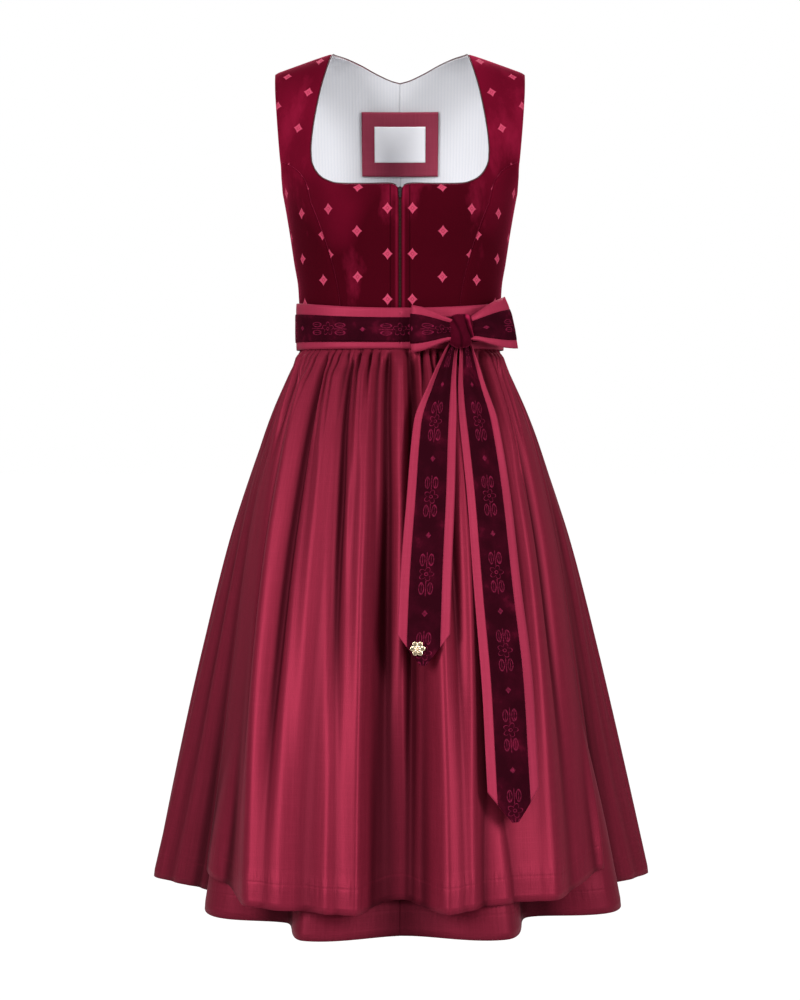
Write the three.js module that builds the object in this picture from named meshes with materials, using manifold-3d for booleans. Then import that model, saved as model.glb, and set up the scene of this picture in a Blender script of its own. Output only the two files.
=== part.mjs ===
// A sleeveless folk dress, worn form with no wearer: a velvet bodice with a front zip, a gathered
// skirt, and a gathered apron whose ribbon waistband is tied in a bow.
// Millimetres, +Z up. The front faces -Y and the wearer's left is +X.
// The origin is midway between the inner ends of the two shoulder seams, where the wearer holds the dress.
import * as THREE from "three";
import { mergeVertices } from "three/addons/utils/BufferGeometryUtils.js";
import Module from "manifold-3d";

const wasm = await Module();
wasm.setup();

// Driving dimensions
const seamGap = 0.3; // between neighbouring pieces
const velvetWall = 1.5;
const liningWall = 1.0;
const skirtWall = 1.8;
const ribbonWall = 1.1;
const sectionPower = 2.3; // how square a horizontal section of the body is; 2 is an ellipse
const waistSeam = -352;
const apronTop = -356;
const skirtHem = -1066;
const apronHem = -1031;
const neckHalf = 86; // from the middle to the inner end of a shoulder seam
const shoulderHalf = 160.5;
const shoulderDrop = 26; // from the inner to the outer end of a shoulder seam
const zipHalfGap = 2.6;
const ribbonWidth = 54;
const velvetWidth = 34;

// Smooth curve through a table's rows, with no overshoot between them.
function tableCurve(rows, key, column) {
  const x = rows.map((row) => row[key]);
  const y = rows.map((row) => row[column]);
  const rise = x.slice(1).map((value, i) => (y[i + 1] - y[i]) / (value - x[i]));
  const slope = y.map((_, i) => {
    const before = rise[Math.max(0, i - 1)];
    const after = rise[Math.min(rise.length - 1, i)];
    return before * after <= 0 ? 0 : (2 * before * after) / (before + after);
  });
  return (at) => {
    const last = x.length - 2;
    let i = 0;
    while (i < last && at > x[i + 1]) i += 1;
    const span = x[i + 1] - x[i];
    const s = Math.min(1, Math.max(0, (at - x[i]) / span));
    const keep = (1 + 2 * s) * (1 - s) * (1 - s);
    const reach = s * s * (3 - 2 * s);
    return (
      y[i] * keep +
      y[i + 1] * reach +
      slope[i] * span * s * (1 - s) * (1 - s) -
      slope[i + 1] * span * s * s * (1 - s)
    );
  };
}

const smoothStep = (low, high, value) => {
  const s = Math.min(1, Math.max(0, (value - low) / (high - low)));
  return s * s * (3 - 2 * s);
};
const lerp = (from, to, share) => from + (to - from) * share;

// A sheet of cloth: outer and inner points that go together, and triangles between the outer ones.
class Sheet {
  constructor() {
    this.outer = [];
    this.inner = [];
    this.faces = [];
    this.known = new Map();
  }

  point(outer, inner) {
    const name = outer.toArray().map((value) => Math.round(value * 200)).join();
    if (!this.known.has(name)) {
      this.known.set(name, this.outer.length);
      this.outer.push(outer);
      this.inner.push(inner);
    }
    return this.known.get(name);
  }

  // Rows of [outer, inner] pairs, from the bottom up and left to right as seen from outside, or
  // right to left where mirrored. Neighbouring rows may hold different numbers of points.
  addRows(rows, mirrored = false) {
    const indexed = rows.map((row) => row.map(([outer, inner]) => this.point(outer, inner)));
    for (let j = 0; j + 1 < indexed.length; j += 1) this.addStrip(indexed[j], indexed[j + 1], mirrored);
    return this;
  }

  addStrip(lower, upper, mirrored) {
    let i = 0;
    let k = 0;
    while (i < lower.length - 1 || k < upper.length - 1) {
      const nextLower = (i + 1) / (lower.length - 1);
      const nextUpper = (k + 1) / (upper.length - 1);
      if (k === upper.length - 1 || (i < lower.length - 1 && nextLower <= nextUpper)) {
        this.addFace(lower[i], lower[i + 1], upper[k], mirrored);
        i += 1;
      } else {
        this.addFace(lower[i], upper[k + 1], upper[k], mirrored);
        k += 1;
      }
    }
  }

  addFace(a, b, c, mirrored) {
    if (a !== b && b !== c && c !== a) this.faces.push(mirrored ? [a, c, b] : [a, b, c]);
  }

  // The closed wall: the outer faces, the inner ones turned round, and a strip along every free edge.
  geometry() {
    const offset = this.outer.length;
    const triangles = [];
    const edges = new Set();
    this.faces.forEach(([a, b, c]) => {
      triangles.push(a, b, c, a + offset, c + offset, b + offset);
      [[a, b], [b, c], [c, a]].forEach(([from, to]) => edges.add(from + "," + to));
    });
    edges.forEach((edge) => {
      const [from, to] = edge.split(",").map(Number);
      if (edges.has(to + "," + from)) return;
      triangles.push(from, from + offset, to, to, from + offset, to + offset);
    });
    const points = [...this.outer, ...this.inner].flatMap((p) => p.toArray());
    const made = new THREE.BufferGeometry();
    made.setAttribute("position", new THREE.Float32BufferAttribute(points, 3));
    made.setIndex(triangles);
    return made;
  }
}

// A manifold-3d solid of a closed geometry, and back.
function solidOf(geometry) {
  const bare = geometry.clone();
  bare.deleteAttribute("normal");
  bare.deleteAttribute("uv");
  const merged = mergeVertices(bare, 1e-3);
  return new wasm.Manifold(
    new wasm.Mesh({
      numProp: 3,
      vertProperties: merged.attributes.position.array,
      triVerts: new Uint32Array(merged.index.array),
    }),
  );
}

function geometryOf(solid) {
  const mesh = solid.getMesh();
  const made = new THREE.BufferGeometry();
  made.setAttribute("position", new THREE.Float32BufferAttribute(mesh.vertProperties, 3));
  made.setIndex([...mesh.triVerts]);
  return made;
}

// The part of a geometry that is left once the cutters are taken away: its largest body.
function cutBy(geometry, ...cutters) {
  const left = cutters.reduce((solid, cutter) => solid.subtract(solidOf(cutter)), solidOf(geometry));
  return geometryOf(left.decompose().sort((a, b) => b.volume() - a.volume())[0]);
}

// Materials
const cloth = (color, roughness) => new THREE.MeshStandardMaterial({ color, roughness, metalness: 0 });
const bodiceVelvet = cloth(0x5e0616, 0.8);
const ribbonVelvet = cloth(0x3c0814, 0.8);
const skirtSatin = cloth(0x6d1f2f, 0.45);
const apronSatin = cloth(0x8c2339, 0.4);
const ribbonSatin = cloth(0x9a2d48, 0.45);
const liningCotton = cloth(0xe6e6ea, 0.8);
const labelCotton = cloth(0xecedfb, 0.7);
const patchSatin = cloth(0x7c2d3e, 0.5);
const zipTape = cloth(0x2a1014, 0.8);
const zipMetal = new THREE.MeshStandardMaterial({ color: 0x4a4248, roughness: 0.35, metalness: 0.9 });
const gold = new THREE.MeshStandardMaterial({ color: 0xe8cfa0, roughness: 0.25, metalness: 1 });

const dress = new THREE.Group();
function add(name, geometry, material) {
  const mesh = new THREE.Mesh(geometry, material);
  mesh.name = name;
  dress.add(mesh);
  return mesh;
}

// The body form under the bodice. A level is given by the square root of its depth below the
// shoulder seam, so that levels crowd together where the cloth turns over the shoulder.
const torsoSections = [
  { level: 0.0, halfWidth: 186, front: 0, back: 0 },
  { level: 2.0, halfWidth: 186, front: 17, back: 16 },
  { level: 4.0, halfWidth: 186, front: 33, back: 32 },
  { level: 6.0, halfWidth: 186, front: 47, back: 47 },
  { level: 8.0, halfWidth: 184, front: 60, back: 62 },
  { level: 10.0, halfWidth: 180, front: 75, back: 77 },
  { level: 11.5, halfWidth: 172, front: 90, back: 88 },
  { level: 12.6, halfWidth: 160, front: 102, back: 95 },
  { level: 13.3, halfWidth: 152.5, front: 109, back: 98 },
  { level: 13.9, halfWidth: 149, front: 112, back: 99 },
  { level: 15.1, halfWidth: 143, front: 109, back: 97 },
  { level: 16.4, halfWidth: 137, front: 101, back: 92 },
  { level: 17.3, halfWidth: 132, front: 96, back: 88 },
  { level: 18.0, halfWidth: 130.5, front: 94, back: 86 },
  { level: 18.8, halfWidth: 127.5, front: 91, back: 83 },
];
const torsoHalfWidth = tableCurve(torsoSections, "level", "halfWidth");
const torsoFront = tableCurve(torsoSections, "level", "front");
const torsoBack = tableCurve(torsoSections, "level", "back");
const bust = { x: 76, z: -203, out: 9, spread: 40 };

const shoulderSlope = (x) =>
  -shoulderDrop * Math.pow(Math.max(0, (Math.abs(x) - neckHalf) / (shoulderHalf - neckHalf)), 1.1);
const slopeShare = (level) => 1 - smoothStep(0, 10, level);

// half is -1 for the front and 1 for the back; angle runs from 0 at the middle to a right angle at the side.
function torsoPoint(half, angle, level) {
  const power = 2 / sectionPower;
  const x = torsoHalfWidth(level) * Math.sign(angle) * Math.pow(Math.abs(Math.sin(angle)), power);
  const deep = (half < 0 ? torsoFront : torsoBack)(level) * Math.pow(Math.max(0, Math.cos(angle)), power);
  const z = -level * level + shoulderSlope(x) * slopeShare(level);
  const fromBust = Math.hypot(Math.abs(x) - bust.x, z - bust.z) / bust.spread;
  const full = half < 0 ? bust.out * Math.exp(-fromBust * fromBust) : 0;
  return new THREE.Vector3(x, half * (deep + full), z);
}

// A point of the form, moved in along the form's normal.
function torsoSurface(half, angle, level, inset) {
  const step = 0.01;
  const inside = Math.min(Math.abs(angle), Math.PI / 2 - step) * Math.sign(angle || 1);
  const deep = Math.max(level, step);
  const across = torsoPoint(half, inside + step, deep).sub(torsoPoint(half, inside - step, deep));
  const down = torsoPoint(half, inside, deep + step).sub(torsoPoint(half, inside, deep - step));
  const normal = across.cross(down).normalize().multiplyScalar(half);
  if (inset > 0 && level <= 0) normal.set(0, normal.y, normal.z).normalize();
  const point = torsoPoint(half, angle, level).addScaledVector(normal, -inset);
  if (Math.abs(angle) >= Math.PI / 2 || level <= 0) point.y = 0;
  point.y += (half * seamGap) / 2;
  return point;
}

// The angle and level of the form at a place seen from the front.
function torsoPlace(x, z) {
  let level = Math.sqrt(Math.max(0, -z));
  for (let round = 0; round < 30; round += 1) {
    const rest = Math.max(0, shoulderSlope(x) * slopeShare(level) - z);
    level = lerp(level, Math.sqrt(rest), 0.5);
  }
  if (level < 0.05) level = 0;
  const share = Math.min(1, Math.abs(x) / torsoHalfWidth(level));
  return [Math.sign(x) * Math.asin(Math.pow(share, sectionPower / 2)), level];
}

// A smooth line through places on the front or back, as angle and level along it from 0 to 1.
function formLine(...places) {
  const curve = new THREE.CatmullRomCurve3(
    places.map(([x, z]) => new THREE.Vector3(x, 0, z)),
    false,
    "centripetal",
  );
  return (share) => {
    const at = curve.getPointAt(Math.min(1, Math.max(0, share)));
    return torsoPlace(at.x, at.z);
  };
}

const joined = (first, second, split) => (share) =>
  share < split ? first(share / split) : second((share - split) / (1 - split));
const sidePlace = (level) => [Math.PI / 2, level];

// The patch between four edge lines, as rows of angle and level.
function patch(bottom, top, left, right, columns, rows, easeTop = 1) {
  return Array.from({ length: rows + 1 }, (_, j) => {
    const v = 1 - Math.pow(1 - j / rows, easeTop);
    return Array.from({ length: columns + 1 }, (_, i) => {
      const u = i / columns;
      return [0, 1].map(
        (k) =>
          lerp(bottom(u)[k], top(u)[k], v) +
          lerp(left(v)[k], right(v)[k], u) -
          lerp(lerp(bottom(0)[k], bottom(1)[k], u), lerp(top(0)[k], top(1)[k], u), v),
      );
    });
  });
}

// Seam lines of the bodice, as x and z from the bottom up. Those of the wearer's right are mirrored.
const sideLevel = Math.sqrt(177);
const waistLevel = Math.sqrt(-waistSeam);
const neckCorner = [111.5, -140];
const frontArmhole = [153, -143];
const backArmhole = [153.5, -118];
const shoulderTip = [shoulderHalf, -shoulderDrop];
const frontEdge = formLine([zipHalfGap, waistSeam], [zipHalfGap, -260], [zipHalfGap, -182.5]);
const frontFoot = [112, -199];
const neckTurn = [90, -172.5];
const frontPrincessLow = formLine([74, waistSeam], [78, -310], [89, -262], [102, -225], frontFoot);
const frontPrincessHigh = formLine(frontFoot, [120, -170], [133, -154], frontArmhole);
const frontNeck = formLine([zipHalfGap, -182.5], [8, -178], [40, -177.5], [72, -177], neckTurn);
const neckRound = formLine(neckTurn, [103, -161], neckCorner);
const neckFoot = formLine(neckTurn, frontFoot);
const frontNeckSide = formLine(neckCorner, [109.5, -102], [100.5, -52], [92, -20], [neckHalf, 0]);
const armholeFront = formLine(frontArmhole, [155, -118], [157.5, -85], [159.5, -55], shoulderTip);
const shoulderSeam = formLine([neckHalf, 0], shoulderTip);
const backPrincess = formLine(
  [62, waistSeam], [68, -305], [84, -232], [102, -184], [124, -142], backArmhole,
);
const armholeBack = formLine(backArmhole, [156.5, -88], [159.5, -56], shoulderTip);
const backEdge = formLine([seamGap / 2, waistSeam], [seamGap / 2, -31]);
const backNeck = formLine(
  [seamGap / 2, -31], [12, -28], [30, -20.5], [52, -10], [70, -3.5], [neckHalf, 0],
);
const sideSeam = (share) => sidePlace(lerp(waistLevel, sideLevel, share));
const waistTo = (from, to) => (share) => torsoPlace(lerp(from, to, share), waistSeam);
const waistToSide = (from) => (share) => [
  lerp(torsoPlace(from, waistSeam)[0], Math.PI / 2, share), waistLevel,
];
const underarm = (corner, low) => {
  const start = torsoPlace(...corner);
  return (share) => [
    lerp(start[0], Math.PI / 2, share),
    lerp(start[1], sideLevel, Math.pow(Math.sin((share * Math.PI) / 2), low)),
  ];
};

const rowsLow = 5;
const rowsHigh = 3;
const rowsUp = rowsLow + rowsHigh;
const strapRows = 6;
const strapSplit = rowsHigh / (rowsHigh + strapRows);
const front = patch(
  waistTo(zipHalfGap, 74), joined(frontNeck, neckFoot, 5 / 8), frontEdge, frontPrincessLow, 8, rowsLow,
);
const strap = patch(
  neckFoot, shoulderSeam, joined(neckRound, frontNeckSide, strapSplit),
  joined(frontPrincessHigh, armholeFront, strapSplit), 3, rowsHigh + strapRows,
);
const frontSide = patch(
  waistToSide(74), underarm(frontArmhole, 0.8),
  joined(frontPrincessLow, frontPrincessHigh, rowsLow / rowsUp), sideSeam, 4, rowsUp,
);
const back = patch(
  waistTo(seamGap / 2, 62), joined(backNeck, shoulderSeam, 5 / 8), backEdge,
  joined(backPrincess, armholeBack, rowsUp / 13), 8, 13,
);
const backSide = patch(waistToSide(62), underarm(backArmhole, 0.9), backPrincess, sideSeam, 4, rowsUp);

// Rows of cloth points from a patch: half -1 is the front, side -1 mirrors it to the wearer's right.
// A trimmed first column lies a seam gap away from the seam line; a first column may also start at an x.
function clothRows(places, half, side, from, wall, { trimmed = false, startX = 0 } = {}) {
  const rows = places.map((row) =>
    row.map(([angle, level]) => [from, from + wall].map((inset) => torsoSurface(half, angle, level, inset))),
  );
  const shifts = rows.map((row, j) => {
    const along = new THREE.Vector3().subVectors(
      rows[Math.min(rows.length - 1, j + 1)][0][0],
      rows[Math.max(0, j - 1)][0][0],
    );
    const into = new THREE.Vector3().subVectors(row[1][0], row[0][0]);
    return into.addScaledVector(along, -into.dot(along) / along.lengthSq()).setLength(seamGap);
  });
  if (trimmed) rows.forEach((row, j) => row[0].forEach((point) => point.add(shifts[j])));
  if (startX > 0) {
    rows.forEach(([first, second]) => {
      const share = (startX - first[0].x) / (second[0].x - first[0].x);
      first.forEach((point, k) => point.lerp(second[k], share));
    });
  }
  rows.flat(2).forEach((point) => point.setX(side * point.x));
  return rows;
}

function bodicePiece(name, parts, half, side, from, wall, material) {
  const sheet = new Sheet();
  parts.forEach(([places, edges]) =>
    sheet.addRows(clothRows(places, half, side, from, wall, edges), half * side > 0),
  );
  add(name, sheet.geometry(), material);
}

const liningInset = velvetWall + seamGap;
const liningEdge = 10;
[["left", 1], ["right", -1]].forEach(([word, side]) => {
  const velvet = (name, parts, half) =>
    bodicePiece(name + "_" + word, parts, half, side, 0, velvetWall, bodiceVelvet);
  const lining = (name, parts, half) =>
    bodicePiece(name + "_" + word, parts, half, side, liningInset, liningWall, liningCotton);
  velvet("bodice_front", [[front], [strap]], -1);
  velvet("bodice_front_side", [[frontSide, { trimmed: true }]], -1);
  velvet("bodice_back", [[back]], 1);
  velvet("bodice_back_side", [[backSide, { trimmed: true }]], 1);
  lining("lining_front", [[front, { startX: liningEdge }], [strap], [frontSide]], -1);
  lining("lining_back", [[back], [backSide]], 1);
});

// The sewn-in patch and the blank label on it, on the back lining.
function backPatch(name, halfWidth, top, bottom, inset, wall, material) {
  const rows = Array.from({ length: 6 }, (_, j) =>
    Array.from({ length: 9 }, (_, i) => {
      const [angle, level] = torsoPlace(lerp(halfWidth, -halfWidth, i / 8), lerp(bottom, top, j / 5));
      return [inset, inset + wall].map((deep) => torsoSurface(1, angle, level, deep));
    }),
  );
  add(name, new Sheet().addRows(rows).geometry(), material);
}
const patchInset = liningInset + liningWall + 4 * seamGap;
backPatch("label_patch", 51, -64, -146, patchInset, 0.8, patchSatin);
backPatch("label", 34, -82, -127.5, patchInset + 0.8 + 2 * seamGap, 0.6, labelCotton);

// The zip behind the front edges: its tape, and the slider that shows at the top of the slit.
const zip = { halfWidth: 8.8, inset: liningInset + seamGap, slider: -188 };
function zipRows() {
  const rows = Array.from({ length: rowsLow + 1 }, (_, j) => {
    const [, level] = frontEdge(j / rowsLow);
    return [-1, -0.3, 0.3, 1].map((across) => {
      const [angle] = torsoPlace(across * zip.halfWidth, -level * level);
      return [zip.inset, zip.inset + 0.8].map((deep) => torsoSurface(-1, angle, level, deep));
    });
  });
  rows[rowsLow].forEach((pair, i) => pair.forEach((point, k) => point.lerp(rows[rowsLow - 1][i][k], 0.1)));
  return rows;
}
add("zip_tape", new Sheet().addRows(zipRows()).geometry(), zipTape);

const zipFace = torsoSurface(-1, ...torsoPlace(0, zip.slider), 0).y;
const slider = { halfWidth: 2.1, halfHeight: 6.5, front: zipFace - 0.4, back: zipFace + liningInset - 0.6 };
function zipSlider() {
  const outline = new THREE.Shape();
  outline.moveTo(-slider.halfWidth, slider.halfHeight - 1.5);
  outline.quadraticCurveTo(-slider.halfWidth, slider.halfHeight, 0, slider.halfHeight);
  outline.quadraticCurveTo(slider.halfWidth, slider.halfHeight, slider.halfWidth, slider.halfHeight - 1.5);
  outline.lineTo(slider.halfWidth * 0.7, -slider.halfHeight);
  outline.lineTo(-slider.halfWidth * 0.7, -slider.halfHeight);
  return new THREE.ExtrudeGeometry(outline, {
    depth: slider.back - slider.front, bevelEnabled: false, curveSegments: 5,
  })
    .rotateX(Math.PI / 2)
    .translate(0, slider.back, zip.slider);
}
add("zip_slider", zipSlider(), zipMetal);

// The skirt's level sections, from under the waistband to the hem.
const skirtSections = [
  { down: 0, halfWidth: 127.0, front: 90.5, back: 82.5 },
  { down: 28, halfWidth: 128.2, front: 91.8, back: 83.8 },
  { down: 36, halfWidth: 136, front: 99, back: 91 },
  { down: 59, halfWidth: 145, front: 111, back: 104 },
  { down: 111, halfWidth: 166, front: 138, back: 134 },
  { down: 163, halfWidth: 185, front: 161, back: 160 },
  { down: 267, halfWidth: 219, front: 201, back: 203 },
  { down: 423, halfWidth: 258, front: 249, back: 250 },
  { down: 579, halfWidth: 294, front: 292, back: 288 },
  { down: 714, halfWidth: 325, front: 330, back: 322 },
];
const skirtHalfWidth = tableCurve(skirtSections, "down", "halfWidth");
const skirtFront = tableCurve(skirtSections, "down", "front");
const skirtBack = tableCurve(skirtSections, "down", "back");

// Large folds of the skirt at its hem, by the angle round it from the middle of the front.
const skirtFolds = [
  { angle: -180, out: -30 }, { angle: -162, out: 12 }, { angle: -147, out: -46 }, { angle: -129, out: 4 },
  { angle: -111, out: -42 }, { angle: -92, out: 2 }, { angle: -69, out: -66 }, { angle: -46, out: -13 },
  { angle: -29, out: -44 }, { angle: -19, out: 18 }, { angle: 1, out: -22 }, { angle: 21, out: 17 },
  { angle: 35, out: -56 }, { angle: 54, out: -12 }, { angle: 76, out: -50 }, { angle: 93, out: 2 },
  { angle: 112, out: -44 }, { angle: 131, out: 4 }, { angle: 148, out: -46 }, { angle: 163, out: 12 },
  { angle: 180, out: -30 },
];
const foldAtHem = tableCurve(skirtFolds, "angle", "out");
const skirtGathers = 44;

// How far a fold or gather stands out at a distance down from the waist seam.
const foldGrowth = (down) => Math.pow(smoothStep(20, 900, down) * 1.16, 0.9);
const gatherSwell = (down, reach) =>
  lerp(0.6, 3.4, smoothStep(28, 58, down)) * (1 - smoothStep(0.25 * reach, reach, down));

function skirtOut(turn, down) {
  const angle = turn > Math.PI ? turn - 2 * Math.PI : turn;
  const degrees = (angle * 180) / Math.PI;
  const reach = 190 + 90 * Math.sin(angle * 5 + 1) + 40 * Math.sin(angle * 11);
  return (
    foldAtHem(degrees) * foldGrowth(down) +
    gatherSwell(down, reach) * Math.cos(angle * skirtGathers) * (0.8 + 0.2 * Math.sin(angle * 7))
  );
}

// A level section of the skirt: a point at an angle from the front, moved out level.
function skirtBase(angle, down, out) {
  const power = lerp(2 / sectionPower, 1, smoothStep(0, 250, down));
  const round = (value) => Math.sign(value) * Math.pow(Math.abs(value), power);
  const deep = (Math.cos(angle) > 0 ? skirtFront : skirtBack)(down);
  const x = skirtHalfWidth(down) * round(Math.sin(angle));
  const y = -deep * round(Math.cos(angle));
  const far = Math.hypot(x, y);
  return new THREE.Vector3(x * (1 + out / far), y * (1 + out / far), waistSeam - 0.6 - down);
}

const skirtRows = [
  { down: 0, front: 2, back: 2 }, { down: 28, front: 4, back: 4 }, { down: 36, front: 4, back: 4 },
  { down: 60, front: 4, back: 4 }, { down: 100, front: 4, back: 2 }, { down: 160, front: 2, back: 2 },
  { down: 230, front: 2, back: 2 }, { down: 320, front: 2, back: 1.5 }, { down: 430, front: 2, back: 1.5 },
  { down: 560, front: 2, back: 1.5 }, { down: waistSeam - skirtHem, front: 2, back: 1.5 },
];
function skirtPanel(name, fromAngle, toAngle, density) {
  const gathers = Math.round(((toAngle - fromAngle) / (2 * Math.PI)) * skirtGathers);
  const rows = skirtRows.map((row) => {
    const columns = Math.round(gathers * row[density]);
    return Array.from({ length: columns + 1 }, (_, i) => {
      const edge = i === 0 ? 1 : i === columns ? -1 : 0;
      const angle =
        lerp(fromAngle, toAngle, i / columns) + (edge * seamGap) / 2 / skirtHalfWidth(row.down);
      const out = skirtOut(angle, row.down);
      return [skirtBase(angle, row.down, out), skirtBase(angle, row.down, out - skirtWall)];
    });
  });
  add(name, new Sheet().addRows(rows.reverse()).geometry(), skirtSatin);
}
skirtPanel("skirt_front_right", -Math.PI / 2, 0, "front");
skirtPanel("skirt_front_left", 0, Math.PI / 2, "front");
skirtPanel("skirt_back", Math.PI / 2, (Math.PI * 3) / 2, "back");

// The apron's folds from side to side: the angle of each line at the hem, and how far it stands out
// there from the skirt's form. At the waist the lines lie evenly.
const apronFolds = [
  { place: 0.0, angle: -54, out: -30 }, { place: 0.07, angle: -42, out: -18 },
  { place: 0.13, angle: -34, out: 14 }, { place: 0.18, angle: -29, out: 33 },
  { place: 0.24, angle: -23.5, out: 32 }, { place: 0.3, angle: -18.5, out: 21 },
  { place: 0.36, angle: -13, out: 29 }, { place: 0.41, angle: -8.5, out: 28 },
  { place: 0.455, angle: -5, out: -8 }, { place: 0.5, angle: 0, out: -22 },
  { place: 0.55, angle: 4.5, out: -10 }, { place: 0.6, angle: 9.5, out: 25 },
  { place: 0.65, angle: 13.5, out: 20 }, { place: 0.71, angle: 19, out: 4 },
  { place: 0.77, angle: 25, out: 6 }, { place: 0.84, angle: 32, out: 15 },
  { place: 0.9, angle: 39, out: 0 }, { place: 0.95, angle: 45, out: -6 },
  { place: 1.0, angle: 52, out: -14 },
];
const apronAngle = tableCurve(apronFolds, "place", "angle");
const apronFold = tableCurve(apronFolds, "place", "out");
const apronLift = tableCurve(
  [
    { place: 0, lift: 12 }, { place: 0.15, lift: 1 }, { place: 0.42, lift: 0 }, { place: 0.5, lift: 7 },
    { place: 0.58, lift: 0 }, { place: 0.74, lift: 4 }, { place: 0.85, lift: 2 }, { place: 1, lift: 18 },
  ],
  "place",
  "lift",
);
const apronReach = 73; // degrees from the middle to its side edges at the waist
const apronGathers = 26;

const softMax = (a, b, blend) => (a + b + Math.hypot(a - b, blend)) / 2;

function apronPoint(place, share, inset) {
  const z = lerp(apronTop, apronHem + apronLift(place), share);
  const down = waistSeam - 0.6 - z;
  const degrees = lerp(lerp(-apronReach, apronReach, place), apronAngle(place), Math.pow(share, 0.7));
  const angle = (degrees * Math.PI) / 180;
  const under = skirtOut(angle, down) + lerp(2.5, 5, smoothStep(40, 200, down));
  const reach = 150 + 70 * Math.sin(place * 23) + 40 * Math.sin(place * 51 + 1);
  const ownFold = apronFold(place) * Math.pow(smoothStep(-60, 640, down), 0.9);
  const own = lerp(2.9, 9, smoothStep(28, 200, down)) + ownFold * smoothStep(28, 60, down);
  const gather =
    gatherSwell(down, reach) * (0.9 + 0.35 * Math.sin(place * 37)) * Math.cos(place * apronGathers * 2 * Math.PI);
  const banded = smoothStep(28, 48, down);
  const out = lerp(own + 0.4 * gather, softMax(under + 3 * banded, own + gather, 3), banded);
  return skirtBase(angle, down, out - inset);
}

const apronRows = [
  { share: 0, perGather: 2 }, { share: 0.036, perGather: 4 }, { share: 0.048, perGather: 4 },
  { share: 0.085, perGather: 4 }, { share: 0.14, perGather: 4 }, { share: 0.21, perGather: 2 },
  { share: 0.31, perGather: 2 }, { share: 0.44, perGather: 2 }, { share: 0.6, perGather: 2 },
  { share: 0.79, perGather: 2 }, { share: 1, perGather: 2 },
];
const apronSheet = new Sheet().addRows(
  apronRows
    .map(({ share, perGather }) => {
      const columns = apronGathers * perGather;
      return Array.from({ length: columns + 1 }, (_, i) =>
        [0, 1.4].map((inset) => apronPoint(i / columns, share, inset)),
      );
    })
    .reverse(),
);
add("apron", apronSheet.geometry(), apronSatin);

// The ribbon waistband round the body, with a velvet ribbon along its middle. It narrows a little
// towards the front, where the bow draws it together.
const bandForm = { halfWidth: 133.2, front: 97.4, back: 88.8, top: -324, dip: 9, bottom: -381 };
function bandPoint(angle, across, out) {
  const power = 2 / sectionPower;
  const round = (value) => Math.sign(value) * Math.pow(Math.abs(value), power);
  const deep = Math.cos(angle) > 0 ? bandForm.front : bandForm.back;
  const upper = bandForm.top - bandForm.dip * Math.pow(Math.max(0, Math.cos(angle)), 2);
  return new THREE.Vector3(
    (bandForm.halfWidth + out) * round(Math.sin(angle)),
    -(deep + out) * round(Math.cos(angle)),
    lerp(bandForm.bottom, upper, across),
  );
}
function band(name, from, to, out, material) {
  const columns = 56;
  const rows = [from, to].map((across) =>
    Array.from({ length: columns + 1 }, (_, i) => {
      const angle = (i / columns) * 2 * Math.PI;
      return [out, out - ribbonWall].map((deep) => bandPoint(angle, across, deep));
    }),
  );
  add(name, new Sheet().addRows(rows).geometry(), material);
}
band("waistband", 0, 1, ribbonWall, ribbonSatin);
band("waistband_velvet", 0.17, 0.77, 2 * ribbonWall + seamGap, ribbonVelvet);

// The bow: a knot, two loops and two tails.
const knot = { x: 75.4, y: -101.6, z: -362, turn: 0.36, halfWidth: 15.5, halfDepth: 12, halfHeight: 20 };
function knotGeometry(grow) {
  const round = new THREE.SphereGeometry(1, 16, 10);
  const at = round.attributes.position;
  for (let i = 0; i < at.count; i += 1) {
    const [x, y, z] = [at.getX(i), at.getY(i), at.getZ(i)];
    const square = Math.pow(Math.abs(x) ** 3 + Math.abs(y) ** 3 + Math.abs(z) ** 3, -1 / 3);
    at.setXYZ(i, x * square, y * square, z * square);
  }
  return round
    .scale(knot.halfWidth + grow, knot.halfHeight + grow, knot.halfDepth + grow)
    .rotateX(Math.PI / 2)
    .rotateZ(knot.turn)
    .translate(knot.x, knot.y, knot.z);
}
add("bow_knot", knotGeometry(0), ribbonVelvet);

// A loop's ribbon runs out along its front leaf, round its end and back: a row for each step of it.
const loopSteps = (side) => {
  const far = side < 0 ? { x: -62, y: -6 } : { x: 68, y: 38 };
  return [
    { out: 0.1, front: -6.5, half: 12, drop: 0 },
    { out: 0.3, front: -9.5, half: 16, drop: 0 },
    { out: 0.55, front: -9.5, half: 22, drop: 1 },
    { out: 0.8, front: -6.5, half: 26, drop: 2 },
    { out: 0.94, front: -4, half: 27, drop: 2.5 },
    { out: 1.0, front: 0, half: 27.5, drop: 2.5 },
    { out: 0.94, front: 3.5, half: 27, drop: 2.5 },
    { out: 0.75, front: 4.2, half: 25, drop: 2 },
    { out: 0.5, front: 4, half: 20, drop: 1 },
    { out: 0.25, front: 4, half: 15, drop: 0 },
    { out: 0.1, front: 4, half: 12, drop: 0 },
  ].map((step) => ({
    x: knot.x + far.x * step.out,
    y: knot.y + far.y * Math.pow(step.out, 1.3) + step.front,
    half: step.half,
    z: knot.z + (side < 0 ? 3 : 13) * step.out - step.drop,
    lean: side < 0 ? 0 : 6 * step.out,
  }));
};
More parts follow.
